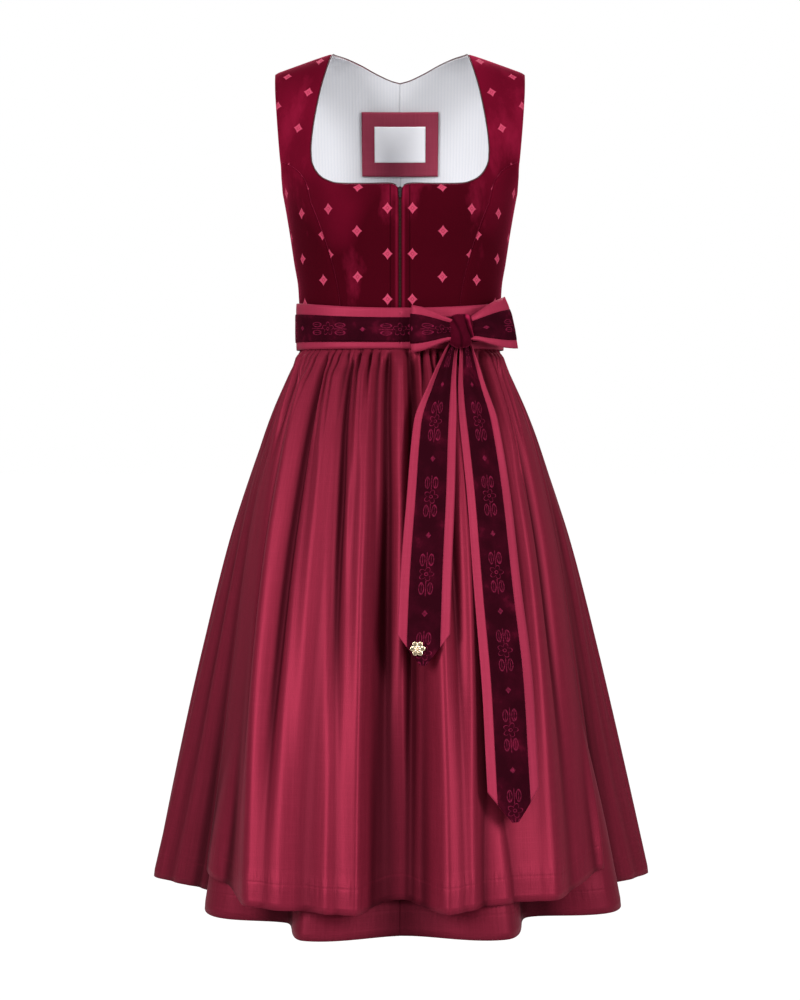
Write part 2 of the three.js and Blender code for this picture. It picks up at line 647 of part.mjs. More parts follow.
function loopSheet(side, width, out) {
  const steps = loopSteps(side);
  const spine = new THREE.CatmullRomCurve3(steps.map((s) => new THREE.Vector3(s.x, s.y, 0)), false, "centripetal");
  const columns = 2;
  const count = 20;
  const rows = Array.from({ length: columns + 1 }, (_, i) => {
    const across = (i / columns) * 2 - 1;
    return Array.from({ length: count + 1 }, (_, j) => {
      const t = j / count;
      const place = t * (steps.length - 1);
      const k = Math.min(steps.length - 2, Math.floor(place));
      const share = place - k;
      const at = spine.getPoint(t);
      const ahead = spine.getTangent(t);
      const facing = new THREE.Vector3(ahead.y, -ahead.x, 0).normalize().multiplyScalar(side < 0 ? -1 : 1);
      const half = (lerp(steps[k].half, steps[k + 1].half, share) * width) / ribbonWidth;
      at.x += -across * lerp(steps[k].lean, steps[k + 1].lean, share) * (width / ribbonWidth);
      at.z = lerp(steps[k].z, steps[k + 1].z, share) + across * half;
      return [out, out - ribbonWall].map((deep) => at.clone().addScaledVector(facing, deep));
    });
  });
  return new Sheet().addRows(side < 0 ? rows.map((row) => row.reverse()) : rows).geometry();
}
[["right", -1], ["left", 1]].forEach(([word, side]) => {
  const cutter = knotGeometry(seamGap + 0.1);
  add("bow_loop_" + word, cutBy(loopSheet(side, ribbonWidth, 0), cutter), ribbonSatin);
  add(
    "bow_loop_velvet_" + word,
    cutBy(loopSheet(side, velvetWidth, ribbonWall + seamGap), cutter),
    ribbonVelvet,
  );
});

// The tails hang from the knot over the apron: a row for each step down, with the middle of the
// ribbon, half its width, and how far it stands in front of the apron's form.
const tails = {
  right: [
    { down: -10, x: 69, half: 5, clear: 15 },
    { down: 4, x: 63, half: 8, clear: 14 },
    { down: 45, x: 52, half: 17, clear: 11 },
    { down: 90, x: 43, half: 26, clear: 12 },
    { down: 180, x: 37, half: 29, clear: 18 },
    { down: 270, x: 31, half: 30.5, clear: 24 },
    { down: 340, x: 28, half: 31, clear: 28 },
    { down: 374, x: 27, half: 31, clear: 29 },
  ],
  left: [
    { down: -10, x: 81, half: 6, clear: 14 },
    { down: 4, x: 84, half: 9, clear: 16 },
    { down: 45, x: 89, half: 17, clear: 12 },
    { down: 90, x: 97, half: 24, clear: 12 },
    { down: 180, x: 108, half: 27, clear: 18 },
    { down: 290, x: 117, half: 29, clear: 25 },
    { down: 400, x: 127, half: 31, clear: 31 },
    { down: 490, x: 131, half: 31, clear: 35 },
    { down: 553, x: 134, half: 31, clear: 36 },
  ],
};
const tailTop = knot.z - 19;
const tailPoint = { corner: 35, tip: 0.12 }; // the cut end: corner height, and the tip's share of the width
// A point in front of the apron's form, at an x and a distance down from the top of the tails.
function tailSurface(word, x, down, out) {
  const below = waistSeam - 0.6 - tailTop + down;
  const clear = tableCurve(tails[word], "down", "clear")(down) + 5 + out;
  const power = lerp(2 / sectionPower, 1, smoothStep(0, 250, below));
  let point = new THREE.Vector3(x, 0, 0);
  let baseX = x;
  for (let round = 0; round < 8; round += 1) {
    const ratio = Math.min(0.98, Math.abs(baseX) / skirtHalfWidth(below));
    const angle = Math.sign(baseX) * Math.asin(Math.pow(ratio, 1 / power));
    point = skirtBase(angle, below, clear);
    baseX += 0.8 * (x - point.x);
  }
  return point;
}
function tailSheet(word, width, out) {
  const [middle, half] = ["x", "half"].map((name) => tableCurve(tails[word], "down", name));
  const length = tails[word][tails[word].length - 1].down;
  const count = word === "left" ? 18 : 13;
  const rows = Array.from({ length: count + 1 }, (_, j) =>
    [-1, -0.5, 0, 0.5, 1].map((value) => {
      const side = value * (width / ribbonWidth);
      const cut = tailPoint.corner * Math.max(0, (Math.abs(side) - tailPoint.tip) / (1 - tailPoint.tip));
      const down = lerp(length - cut, tails[word][0].down, j / count);
      const x = middle(down) + side * half(down);
      return [out, out - ribbonWall].map((deep) => tailSurface(word, x, down, deep));
    }),
  );
  return new Sheet().addRows(rows).geometry();
}
["right", "left"].forEach((word) => {
  const cutter = knotGeometry(seamGap + 0.1);
  add("bow_tail_" + word, cutBy(tailSheet(word, ribbonWidth, 0), cutter), ribbonSatin);
  add(
    "bow_tail_velvet_" + word, cutBy(tailSheet(word, velvetWidth, ribbonWall + seamGap), cutter), ribbonVelvet,
  );
});

// A small gold rosette pinned near the end of the right tail.
const rosette = { x: 20.5, z: -735.5, petals: 6, out: 6.4, swell: 2.6, wall: 1.6 };
function rosetteGeometry() {
  const outline = new THREE.Shape(
    Array.from({ length: 48 }, (_, i) => {
      const angle = (i / 48) * 2 * Math.PI;
      const far = rosette.out + rosette.swell * Math.abs(Math.cos((rosette.petals * angle) / 2));
      return new THREE.Vector2(far * Math.sin(angle), far * Math.cos(angle));
    }),
  );
  return new THREE.ExtrudeGeometry(outline, { depth: rosette.wall, bevelEnabled: false });
}
const rosetteDown = tailTop - rosette.z;
const rosetteFace = tailSurface("right", rosette.x, rosetteDown, 2 * (ribbonWall + seamGap) + 0.5);
add(
  "brooch",
  rosetteGeometry()
    .rotateX(Math.PI / 2 - 0.17)
    .rotateZ(0.06)
    .translate(rosetteFace.x, rosetteFace.y, rosetteFace.z),
  gold,
);

export default dress;
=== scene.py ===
# A sleeveless folk dress with a velvet bodice, a gathered skirt and a satin apron tied with a bow.
# Lengths in the tables are millimetres in the dress's own frame; meshes are made in metres.
import functools
import math

import bpy
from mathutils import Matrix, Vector, kdtree, noise


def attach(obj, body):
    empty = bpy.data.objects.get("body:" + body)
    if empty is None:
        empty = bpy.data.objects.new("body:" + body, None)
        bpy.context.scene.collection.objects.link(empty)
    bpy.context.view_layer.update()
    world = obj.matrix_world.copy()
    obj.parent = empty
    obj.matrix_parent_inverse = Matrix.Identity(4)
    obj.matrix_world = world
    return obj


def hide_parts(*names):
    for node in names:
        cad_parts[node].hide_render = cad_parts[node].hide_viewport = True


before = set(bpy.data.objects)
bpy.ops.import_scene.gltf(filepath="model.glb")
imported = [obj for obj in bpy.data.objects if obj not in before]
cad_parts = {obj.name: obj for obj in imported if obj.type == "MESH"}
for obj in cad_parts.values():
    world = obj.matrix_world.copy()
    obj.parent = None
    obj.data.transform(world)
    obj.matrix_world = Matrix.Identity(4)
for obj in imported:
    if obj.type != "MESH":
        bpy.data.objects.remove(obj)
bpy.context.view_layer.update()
print("frame loaded")

scene = bpy.context.scene
scene.view_settings.view_transform = "Standard"

studio = {"distance": 2.6, "eyeHeight": -0.45, "pitch": 2.75, "lens": 72.0, "floor": -1.6}


def deselect():
    if bpy.context.object and bpy.context.object.mode != "OBJECT":
        bpy.ops.object.mode_set(mode="OBJECT")
    bpy.ops.object.select_all(action="DESELECT")


def setUpCamera():
    deselect()
    bpy.ops.object.camera_add(
        location=(0, -studio["distance"], studio["eyeHeight"]),
        rotation=(math.radians(90 - studio["pitch"]), 0, 0),
    )
    camera = bpy.context.object
    camera.name = "photoCamera"
    camera.data.lens = studio["lens"]
    camera.data.sensor_width = 36
    camera.data.clip_end = 50
    scene.camera = camera


setUpCamera()


# shader helpers
class Field:
    # a shader value that ordinary arithmetic works on
    def __init__(self, finish, socket):
        self.finish = finish
        self.socket = socket

    def maths(self, operation, *others):
        inputs = {0: self}
        inputs.update({i + 1: other for i, other in enumerate(others)})
        return self.finish.add("ShaderNodeMath", {"operation": operation}, inputs)

    def __rsub__(self, other):
        return self.finish.add("ShaderNodeMath", {"operation": "SUBTRACT"}, {0: other, 1: self})

    def under(self, edge, soft):
        # 1 below the edge, 0 above it, with a soft step
        return self.finish.add(
            "ShaderNodeMapRange", {"interpolation_type": "SMOOTHSTEP"},
            {0: self, 1: edge - soft, 2: edge + soft, 3: 1.0, 4: 0.0},
        )

    def cell(self, size):
        # the distance from the middle of the nearest cell
        return self.maths("WRAP", size / 2, -size / 2)


# the operators that a field takes, and the node's word for each
arithmetic = {
    "add": "ADD", "radd": "ADD", "sub": "SUBTRACT", "mul": "MULTIPLY", "rmul": "MULTIPLY",
    "truediv": "DIVIDE", "pow": "POWER", "abs": "ABSOLUTE",
}
for word, operation in arithmetic.items():
    setattr(Field, "__" + word + "__", functools.partialmethod(Field.maths, operation))


class Finish:
    def __init__(self, name, roughness, **fixed):
        self.material = bpy.data.materials.new(name)
        self.material.use_nodes = True
        self.tree = self.material.node_tree
        self.shader = self.tree.nodes["Principled BSDF"]
        self.shader.inputs["Roughness"].default_value = roughness
        for socket, value in fixed.items():
            self.shader.inputs[socket.replace("_", " ")].default_value = value
        self.coordinates = {}

    def add(self, kind, settings=None, inputs=None, output=0):
        node = self.tree.nodes.new(kind)
        for key, value in (settings or {}).items():
            setattr(node, key, value)
        for key, value in (inputs or {}).items():
            self.feed(node.inputs[key], value)
        return Field(self, node.outputs[output])

    def feed(self, socket, value):
        if isinstance(value, Field):
            self.tree.links.new(value.socket, socket)
        elif isinstance(value, tuple) and len(value) == 3 and len(socket.default_value) == 4:
            socket.default_value = (*value, 1)
        else:
            socket.default_value = value

    def place(self, kind):
        # Object or UV coordinates, as a vector
        if kind not in self.coordinates:
            self.coordinates[kind] = self.add("ShaderNodeTexCoord", output=kind)
        return self.coordinates[kind]

    def axis(self, kind, index):
        return self.add("ShaderNodeSeparateXYZ", inputs={0: self.place(kind)}, output=index)

    def grain(self, scale, detail=4.0, stretch=(1, 1, 1), kind="Object", rough=0.55):
        mapped = self.add("ShaderNodeMapping", inputs={0: self.place(kind), 3: stretch})
        wanted = {"Vector": mapped, "Scale": scale, "Detail": detail, "Roughness": rough}
        return self.add("ShaderNodeTexNoise", inputs=wanted)

    def blend(self, share, low, high):
        return self.add("ShaderNodeMix", {"data_type": "RGBA"}, {0: share, 6: low, 7: high}, output=2)

    def color(self, value):
        self.feed(self.shader.inputs["Base Color"], value)

    def roughness(self, value):
        self.feed(self.shader.inputs["Roughness"], value)

    def bump(self, height, strength, distance):
        wanted = {"Strength": strength, "Distance": distance, "Height": height}
        self.feed(self.shader.inputs["Normal"], self.add("ShaderNodeBump", inputs=wanted))

    def hollow(self):
        # the painted shade that the mesh carries: how deep a place lies in the folds, and a painted highlight
        # on the knot where it is below zero
        return self.add("ShaderNodeAttribute", {"attribute_name": "hollow"}, output="Fac")


# curve helpers
def smoothTable(points):
    # smooth curve through (x, y) points with no overshoot between them
    xs = [x for x, _ in points]
    ys = [y for _, y in points]
    rise = [(ys[i + 1] - ys[i]) / (xs[i + 1] - xs[i]) for i in range(len(xs) - 1)]
    slope = []
    for i in range(len(xs)):
        before, after = rise[max(0, i - 1)], rise[min(len(rise) - 1, i)]
        slope.append(0 if before * after <= 0 else 2 * before * after / (before + after))

    def curve(at):
        i = 0
        while i < len(xs) - 2 and at > xs[i + 1]:
            i += 1
        span = xs[i + 1] - xs[i]
        s = min(1, max(0, (at - xs[i]) / span))
        return (
            ys[i] * (1 + 2 * s) * (1 - s) ** 2
            + ys[i + 1] * s * s * (3 - 2 * s)
            + slope[i] * span * s * (1 - s) ** 2
            - slope[i + 1] * span * s * s * (1 - s)
        )

    return curve


def columnCurves(table):
    # a smooth curve for each column of a table, along its first one
    return [smoothTable([(row[0], row[k]) for row in table]) for k in range(1, len(table[0]))]


def smoothStep(low, high, value):
    s = min(1, max(0, (value - low) / (high - low)))
    return s * s * (3 - 2 * s)


def between(start, full, fade, end, value):
    # 1 from full to fade, and 0 before the start and past the end
    return smoothStep(start, full, value) * (1 - smoothStep(fade, end, value))


def lerp(low, high, share):
    return low + (high - low) * share


def ripple(x, y, z=0.0):
    # smooth seeded noise from -1 to 1
    return noise.noise(Vector((x, y, z)))


# mesh helpers
def active(piece):
    deselect()
    piece.select_set(True)
    bpy.context.view_layer.objects.active = piece


def gridOf(columns, rows, spot):
    return [[spot(i, j) for i in range(columns + 1)] for j in range(rows + 1)]


def markHollows(piece, paintedShades):
    piece.data.attributes.new("hollow", "FLOAT", "POINT").data.foreach_set("value", paintedShades)


def clothGrid(name, spots, finish, wall=0.0, flip=False):
    # each spot is a millimetre point and its UV place, and the painted shade from its depth in the folds
    # where there are any
    deselect()
    bpy.ops.mesh.primitive_grid_add(x_subdivisions=len(spots[0]) - 1, y_subdivisions=len(spots) - 1, size=1)
    piece = bpy.context.object
    piece.name = piece.data.name = name
    flat = [spot for row in spots for spot in row]
    piece.data.vertices.foreach_set("co", [value * 0.001 for spot in flat for value in spot[0]])
    layer = piece.data.uv_layers.active.data
    for loop in piece.data.loops:
        layer[loop.index].uv = flat[loop.vertex_index][1]
    if len(flat[0]) > 2:
        markHollows(piece, [spot[2] for spot in flat])
    piece.data.update()
    piece.data.materials.append(finish.material)
    if flip:
        inEditMode(bpy.ops.mesh.flip_normals)
    if wall:
        thicken(piece, wall)
    bpy.ops.object.shade_smooth()
    return piece


def roundPiece(name, segments, rings, spot, finish):
    # spot gives the millimetre place of a point on a unit ball, and its painted shade from the pleats, below
    # zero for a painted highlight
    deselect()
    bpy.ops.mesh.primitive_uv_sphere_add(segments=segments, ring_count=rings, radius=1)
    piece = bpy.context.object
    piece.name = piece.data.name = name
    paintedShades = []
    for vertex in piece.data.vertices:
        point, hollow = spot(*vertex.co)
        vertex.co = point * 0.001
        paintedShades.append(hollow)
    if any(paintedShades):
        markHollows(piece, paintedShades)
    piece.data.update()
    active(piece)
    inEditMode(bpy.ops.mesh.normals_make_consistent, inside=False)
    bpy.ops.object.shade_smooth()
    piece.data.materials.append(finish.material)
    return piece


foldShade = {"near": 9, "nearDepth": 4.6, "wide": 30, "wideDepth": 15.0}


def hollowRow(heights, margin):
    # painted shade from how deep each place of a row lies below the mean of its surroundings, from 0 to 1
    sums = [0.0]
    for height in heights:
        sums.append(sums[-1] + height)
    row = []
    for i in range(margin, len(heights) - margin):
        depth = 0.0
        for reach, scale in (("near", "nearDepth"), ("wide", "wideDepth")):
            low, high = max(0, i - foldShade[reach]), min(len(heights), i + foldShade[reach] + 1)
            mean = (sums[high] - sums[low]) / (high - low)
            depth += max(0.0, mean - heights[i]) / foldShade[scale]
        row.append(min(1.0, depth))
    return row


def inEditMode(action, **options):
    # apply a mesh action to the whole active piece
    bpy.ops.object.mode_set(mode="EDIT")
    bpy.ops.mesh.select_all(action="SELECT")
    action(**options)
    bpy.ops.object.mode_set(mode="OBJECT")


def thicken(piece, wall):
    active(piece)
    bpy.ops.object.modifier_add(type="SOLIDIFY")
    solid = piece.modifiers[-1]
    solid.thickness = wall * 0.001
    solid.offset = -1
    solid.use_even_offset = False
    bpy.ops.object.modifier_apply(modifier=solid.name)


def weld(pieces, name):
    active(pieces[0])
    for piece in pieces[1:]:
        piece.select_set(True)
    bpy.ops.object.join()
    inEditMode(bpy.ops.mesh.remove_doubles, threshold=0.00003)
    pieces[0].name = pieces[0].data.name = name
    return pieces[0]


def seat(piece, slot, *nodes):
    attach(piece, "root")
    if nodes:
        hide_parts(*nodes)


def seatCloth(piece, slot, node, flat, held, under, **area):
    seat(piece, slot, node)


# cloth finishes
diamondCloth = {"across": 0.0380, "down": 0.0557, "half": 0.0066, "bend": 0.82, "figure": 0.0022}
# the turned front edges beside the zip: a painted highlight along the fold and a line of stitches
frontTurn = {"fold": 0.0042, "stitches": 0.0120}
velvetSheen = {
    "Sheen_Weight": 0.75, "Sheen_Roughness": 0.34, "Sheen_Tint": (0.62, 0.035, 0.115, 1),
    "Specular_IOR_Level": 0.04, "Specular_Tint": (1.0, 0.35, 0.45, 1),
}


def shaded(color, share):
    return tuple(share * value for value in color)


velvetTones = {
    "bodiceVelvet": ((0.043, 0.0007, 0.0042), (0.124, 0.0023, 0.0142), (0.26, 0.0080, 0.036)),
    "knotVelvet": ((0.028, 0.0008, 0.0045), (0.080, 0.0022, 0.0120), (0.30, 0.011, 0.050)),
}


def velvetFinish(name, diamonds=True):
    dark, mid, light = velvetTones[name]
    finish = Finish(name, 0.85, **velvetSheen)
    lay = finish.grain(6.5, 2.0, (1, 1, 0.7))
    brush = finish.grain(15.0, 5.0, (1.0, 1.0, 0.45), rough=0.62)
    pile = finish.grain(1900.0, 2.0)
    # brighter towards the shoulders, where the light falls on it
    high = (finish.axis("Object", 2) * 8.0 + 1.90).maths("MINIMUM", 0.6) if diamonds else 0.1
    tone = finish.blend((lay - 0.46) * 4.0 + high, dark, mid)
    tone = finish.blend(((brush - 0.55) * 3.4 + high * 0.35).maths("MAXIMUM", 0.0), tone, light)
    tone = finish.blend((pile - 0.42) * 0.6, tone, dark)
    if not diamonds:
        # painted shade in the knot's pleat valleys, and a painted highlight where the value is below zero
        hollow = finish.hollow()
        tone = finish.blend(hollow, tone, shaded(dark, 0.4))
        finish.color(finish.blend(hollow * -1.0, tone, light))
        finish.bump(pile * 0.5 + brush, 0.35, 0.0006)
        return finish
    x, y = abs(finish.axis("Object", 0)), finish.axis("Object", 1)
    front = y.under(-0.02, 0.01)
    # a painted highlight along the turned fold
    fold = abs(x - frontTurn["fold"]).under(0.0016, 0.0015) * front
    stitches = abs(x - frontTurn["stitches"]).under(0.0008, 0.0008) * front
    tone = finish.blend(stitches * 0.75, finish.blend(fold * 0.35, tone, light), shaded(dark, 0.4))
    u, v = finish.axis("UV", 0), finish.axis("UV", 1)
    size = diamondCloth
    wide, tall, bend = size["half"], size["half"] * 1.12, size["bend"]
    places = (
        (u.cell(2 * size["across"]), v.cell(size["down"])),
        ((u + size["across"]).cell(2 * size["across"]), (v + size["down"] / 2).cell(size["down"])),
    )
    masks, marks = [], []
    for across, along in places:
        reach = (abs(across) / wide) ** bend + (abs(along) / tall) ** bend
        masks.append(reach.under(1.0, 0.05))
        # a little four-part figure stitched inside each diamond
        marks.append(abs(abs(across) + abs(along) - size["figure"]).under(0.0005, 0.0003))
    mask = masks[0].maths("MAXIMUM", masks[1])
    mark = marks[0].maths("MAXIMUM", marks[1]) * mask
    threads = finish.add(
        "ShaderNodeTexWave", {"wave_type": "BANDS", "bands_direction": "Y"},
        {"Vector": finish.place("UV"), "Scale": 420.0, "Distortion": 1.5, "Detail": 1.0},
    )
    thread = finish.blend(threads * 0.6, (0.50, 0.058, 0.120), (0.31, 0.026, 0.060))
    thread = finish.blend(mark * 0.7, thread, (0.22, 0.012, 0.034))
    finish.color(finish.blend(mask, tone, thread))
    finish.roughness(0.85 - mask * 0.4)
    height = pile * 0.4 * (1 - mask) + brush * 0.8 + mask * threads * 0.3 - mask * 0.5 - mark * 0.3
    finish.bump(height, 0.4, 0.0006)
    return finish


satinSheen = {
    "Specular_IOR_Level": 0.12, "Specular_Tint": (1.0, 0.30, 0.42, 1), "Sheen_Weight": 0.04,
    "Sheen_Roughness": 0.4, "Sheen_Tint": (0.8, 0.16, 0.26, 1),
}


satinTones = {
    "skirtTaffeta": ((0.190, 0.0145, 0.0335), (0.135, 0.0095, 0.0225), (0.240, 0.0205, 0.047)),
    "apronSatin": ((0.236, 0.0184, 0.0420), (0.176, 0.0121, 0.0294), (0.294, 0.0252, 0.058)),
    "ribbonSatin": ((0.335, 0.0282, 0.0670), (0.265, 0.0206, 0.0500), (0.39, 0.038, 0.085)),
    "patchSatin": ((0.350, 0.0560, 0.0980), (0.280, 0.0400, 0.0720), (0.42, 0.072, 0.122)),
}
hemStitch = 0.028


def satinFinish(name, roughness, gloss, hemmed=False):
    base, deep, bright = satinTones[name]
    # the dyed threads tint their own reflection, as a metal does
    finish = Finish(name, roughness, Metallic=gloss, **satinSheen)
    slub = finish.grain(260.0, 3.0, (1.6, 0.05, 1), "UV")
    weft = finish.grain(420.0, 2.0, (0.04, 1.8, 1), "UV")
    cloud = finish.grain(7.0, 2.0)
    tone = finish.blend((slub - 0.42) * 1.4, deep, base)
    tone = finish.blend((weft - 0.5) * 0.7, tone, bright)
    tone = finish.blend((cloud - 0.45) * 0.6, tone, deep)
    # painted shade in the valleys of the folds, where the cloth lies against itself
    hollow = finish.hollow()
    tone = finish.blend(hollow * 0.88, tone, shaded(deep, 0.24))
    height = slub * 0.35 + weft * 0.35
    if hemmed:
        # the hem's stitch line, with small puckers above and below it
        off = abs(finish.axis("UV", 1) - hemStitch)
        line, near = off.under(0.0013, 0.0009), off.under(0.010, 0.009)
        pucker = finish.grain(90.0, 2.0, (1.0, 0.22, 1), "UV")
        height = height - line * 0.4 + near * pucker * 4.0
        tone = finish.blend(line * 0.1, tone, deep)
    finish.color(tone)
    finish.roughness(roughness - 0.06 + (slub + weft) * 0.07 + hollow * 0.12)
    finish.bump(height, 0.35, 0.0009)
    return finish


bodiceVelvet = velvetFinish("bodiceVelvet")
knotVelvet = velvetFinish("knotVelvet", diamonds=False)
skirtSatin = satinFinish("skirtTaffeta", 0.48, 0.28, hemmed=True)
apronSatin = satinFinish("apronSatin", 0.44, 0.36, hemmed=True)
ribbonSatin = satinFinish("ribbonSatin", 0.48, 0.14)
patchSatin = satinFinish("patchSatin", 0.5, 0.1)


def liningFinish():
    finish = Finish("stripedLining", 0.75, Sheen_Weight=0.15, Specular_IOR_Level=0.25)
    u = finish.axis("UV", 0)
    stripe = abs(u.cell(0.0042)).under(0.0007, 0.0005)
    fine = abs((u + 0.0014).cell(0.0042)).under(0.0004, 0.0003)
    weave = finish.grain(900.0, 2.0, (1, 1, 1), "UV")
    mark = stripe + fine * 0.5
    finish.color(finish.blend(mark * 0.45, (0.68, 0.68, 0.71), (0.58, 0.60, 0.65)))
    finish.bump(weave * 0.3 - mark, 0.15, 0.0004)
    return finish


liningCotton = liningFinish()


def grainFinish(name, roughness, grain, low, high, relief, wear=0.0, **fixed):
    # two tones blended by one grain, which also gives the relief
    finish = Finish(name, roughness, **fixed)
    threads = finish.grain(*grain)
    finish.color(finish.blend(threads, low, high))
    if wear:
        finish.roughness(roughness + (threads - 0.5) * wear)
    finish.bump(threads, *relief)
    return finish


labelCotton = grainFinish(
    "wovenLabel", 0.6, (1500.0, 2.0, (1, 0.25, 1), "UV"), (0.93, 0.94, 0.99), (0.97, 0.97, 1.00),
    (0.2, 0.0003), Sheen_Weight=0.1, Specular_IOR_Level=0.3,
)
neckPiping = grainFinish(
    "neckPiping", 0.45, (500.0, 2.0), (0.020, 0.0016, 0.0036), (0.060, 0.005, 0.011), (0.3, 0.0003),
    Sheen_Weight=0.2,
)
polish = {"grain": (240.0, 3.0), "relief": (0.08, 0.0002), "wear": 0.16, "Metallic": 1.0}
goldMetal = grainFinish("goldMetal", 0.2, low=(0.76, 0.56, 0.33), high=(0.95, 0.80, 0.58), **polish)
zipMetal = grainFinish("zipMetal", 0.42, low=(0.022, 0.016, 0.018), high=(0.075, 0.062, 0.066), **polish)
print("finishes made")

# the body form under the bodice
seamGap = 0.02
sectionPower = 2.3
waistSeam = -352.0
neckHalf, shoulderHalf, shoulderDrop = 86.0, 160.5, 26.0
zipHalfGap = 1.7
# level below the shoulder (square root of the drop), half width, front depth, back depth
torsoSections = [
    (0.0, 186, 0, 0), (2.0, 186, 17, 16), (4.0, 186, 33, 32), (6.0, 186, 47, 47), (8.0, 184, 60, 62),
    (10.0, 180, 75, 77), (11.5, 172, 90, 88), (12.6, 160, 102, 95), (13.3, 152.5, 109, 98),
    (13.9, 149, 112, 99), (15.1, 143, 109, 97), (16.4, 137, 101, 92), (17.3, 132, 96, 88),
    (18.0, 130.5, 94, 86), (18.8, 127.5, 91, 83),
]
torsoHalfWidth, torsoFront, torsoBack = columnCurves(torsoSections)
bust = {"x": 76, "z": -203, "out": 9, "spread": 40}


def shoulderSlope(x):
    return -shoulderDrop * max(0, (abs(x) - neckHalf) / (shoulderHalf - neckHalf)) ** 1.1


def slopeShare(level):
    return 1 - smoothStep(0, 10, level)


def torsoPoint(half, angle, level):
    # half is -1 for the front and 1 for the back
    power = 2 / sectionPower
    x = torsoHalfWidth(level) * math.copysign(abs(math.sin(angle)) ** power, angle)
    deep = (torsoFront if half < 0 else torsoBack)(level) * max(0, math.cos(angle)) ** power
    z = -level * level + shoulderSlope(x) * slopeShare(level)
    fromBust = math.hypot(abs(x) - bust["x"], z - bust["z"]) / bust["spread"]
    full = bust["out"] * math.exp(-fromBust * fromBust) if half < 0 else 0
    return Vector((x, half * (deep + full), z))


def torsoSurface(half, angle, level, inset):
    step = 0.01
    inside = math.copysign(min(abs(angle), math.pi / 2 - step), angle if angle else 1)
    deep = max(level, step)
    across = torsoPoint(half, inside + step, deep) - torsoPoint(half, inside - step, deep)
    down = torsoPoint(half, inside, deep + step) - torsoPoint(half, inside, deep - step)
    normal = across.cross(down).normalized() * half
    if inset and level <= 0:
        normal = Vector((0, normal.y, normal.z)).normalized()
    point = torsoPoint(half, angle, level) - normal * inset
    if abs(angle) >= math.pi / 2 or level <= 0:
        point.y = 0
    point.y += half * seamGap / 2
    return point


def torsoPlace(x, z):
    # the angle and level of the form at a place seen from the front
    level = math.sqrt(max(0, -z))
    for _ in range(120):
        level = lerp(level, math.sqrt(max(0, shoulderSlope(x) * slopeShare(level) - z)), 0.5)
    if level < 0.05:
        level = 0
    share = min(1, abs(x) / torsoHalfWidth(level))
    return math.copysign(math.asin(share ** (sectionPower / 2)), x), level


def formLine(*places):
    # a smooth line through (x, z) places, even along its length, as angle and level
    ends = [Vector(p) for p in places]
    ends = [2 * ends[0] - ends[1], *ends, 2 * ends[-1] - ends[-2]]
    points = []
    for p0, p1, p2, p3 in zip(ends, ends[1:], ends[2:], ends[3:]):
        d0, d1, d2 = ((b - a).length ** 0.5 for a, b in ((p0, p1), (p1, p2), (p2, p3)))
        t1 = ((p1 - p0) / d0 - (p2 - p0) / (d0 + d1) + (p2 - p1) / d1) * d1
        t2 = ((p2 - p1) / d1 - (p3 - p1) / (d1 + d2) + (p3 - p2) / d2) * d1
        for k in range(40):
            t = k / 40
            points.append(
                p1 * (1 + 2 * t) * (1 - t) ** 2 + p2 * t * t * (3 - 2 * t)
                + t1 * t * (1 - t) ** 2 - t2 * t * t * (1 - t)
            )
    points.append(ends[-2])
    reach = [0.0]
    for a, b in zip(points, points[1:]):
        reach.append(reach[-1] + (b - a).length)

    def line(share):
        want = min(1, max(0, share)) * reach[-1]
        i = 0
        while i < len(reach) - 2 and reach[i + 1] < want:
            i += 1
        at = points[i].lerp(points[i + 1], (want - reach[i]) / max(1e-9, reach[i + 1] - reach[i]))
        return torsoPlace(at.x, at.y)

    return line


def joined(first, second, split):
    return lambda share: first(share / split) if share < split else second((share - split) / (1 - split))


def patchPlaces(bottom, top, left, right, columns, rows, split=1.0):
    # rows of angle and level between four edge lines, blended by drop; rows crowd to the top above the split
    def placed(place):
        return place[0], place[1] ** 2

    below = [placed(bottom(i / columns)) for i in range(columns + 1)]
    above = [placed(top(i / columns)) for i in range(columns + 1)]
    places = []
    for j in range(rows + 1):
        v = j / rows
        if v > split:
            v = 1 - (1 - split) * (1 - (v - split) / (1 - split)) ** 2
        start, end = placed(left(v)), placed(right(v))
        row = []
        for i in range(columns + 1):
            u = i / columns
            angle, drop = (
                lerp(below[i][k], above[i][k], v) + lerp(start[k], end[k], u)
                - lerp(lerp(below[0][k], below[-1][k], u), lerp(above[0][k], above[-1][k], u), v)
                for k in (0, 1)
            )
            row.append((angle, math.sqrt(max(0, drop))))
        places.append(row)
    return places


# seam lines of the bodice, from the bottom up, on the wearer's left
sideLevel, waistLevel = math.sqrt(177), math.sqrt(-waistSeam)
frontArmhole, backArmhole, shoulderTip = (153, -143), (153.5, -118), (shoulderHalf, -shoulderDrop)
neckCorner, neckTurn, frontFoot = (111.5, -140), (90, -172.5), (112, -199)
frontEdge = formLine((zipHalfGap, waistSeam), (zipHalfGap, -260), (zipHalfGap, -182.5))
frontPrincessLow = formLine((74, waistSeam), (78, -310), (89, -262), (102, -225), frontFoot)
frontPrincessHigh = formLine(frontFoot, (120, -170), (133, -154), frontArmhole)
frontNeck = formLine((zipHalfGap, -182.5), (8, -178), (40, -177.5), (70, -177), (82, -175.6), neckTurn)
neckRound = formLine(neckTurn, (96.5, -168.9), (103, -162.6), (108, -154.5), (110.8, -147), neckCorner)
neckFoot = formLine(neckTurn, frontFoot)
frontNeckSide = formLine(neckCorner, (111.8, -128), (109.5, -102), (100.5, -52), (92, -20), (neckHalf, 0))
armholeFront = formLine(frontArmhole, (155, -118), (157.5, -85), (159.5, -55), shoulderTip)
backPrincess = formLine((62, waistSeam), (68, -305), (84, -232), (102, -184), (124, -142), backArmhole)
armholeBack = formLine(backArmhole, (156.5, -88), (159.5, -56), shoulderTip)
backEdge = formLine((seamGap / 2, waistSeam), (seamGap / 2, -31))
backNeck = formLine((seamGap / 2, -31), (12, -28), (30, -20.5), (52, -10), (70, -3.5), (neckHalf, 0))


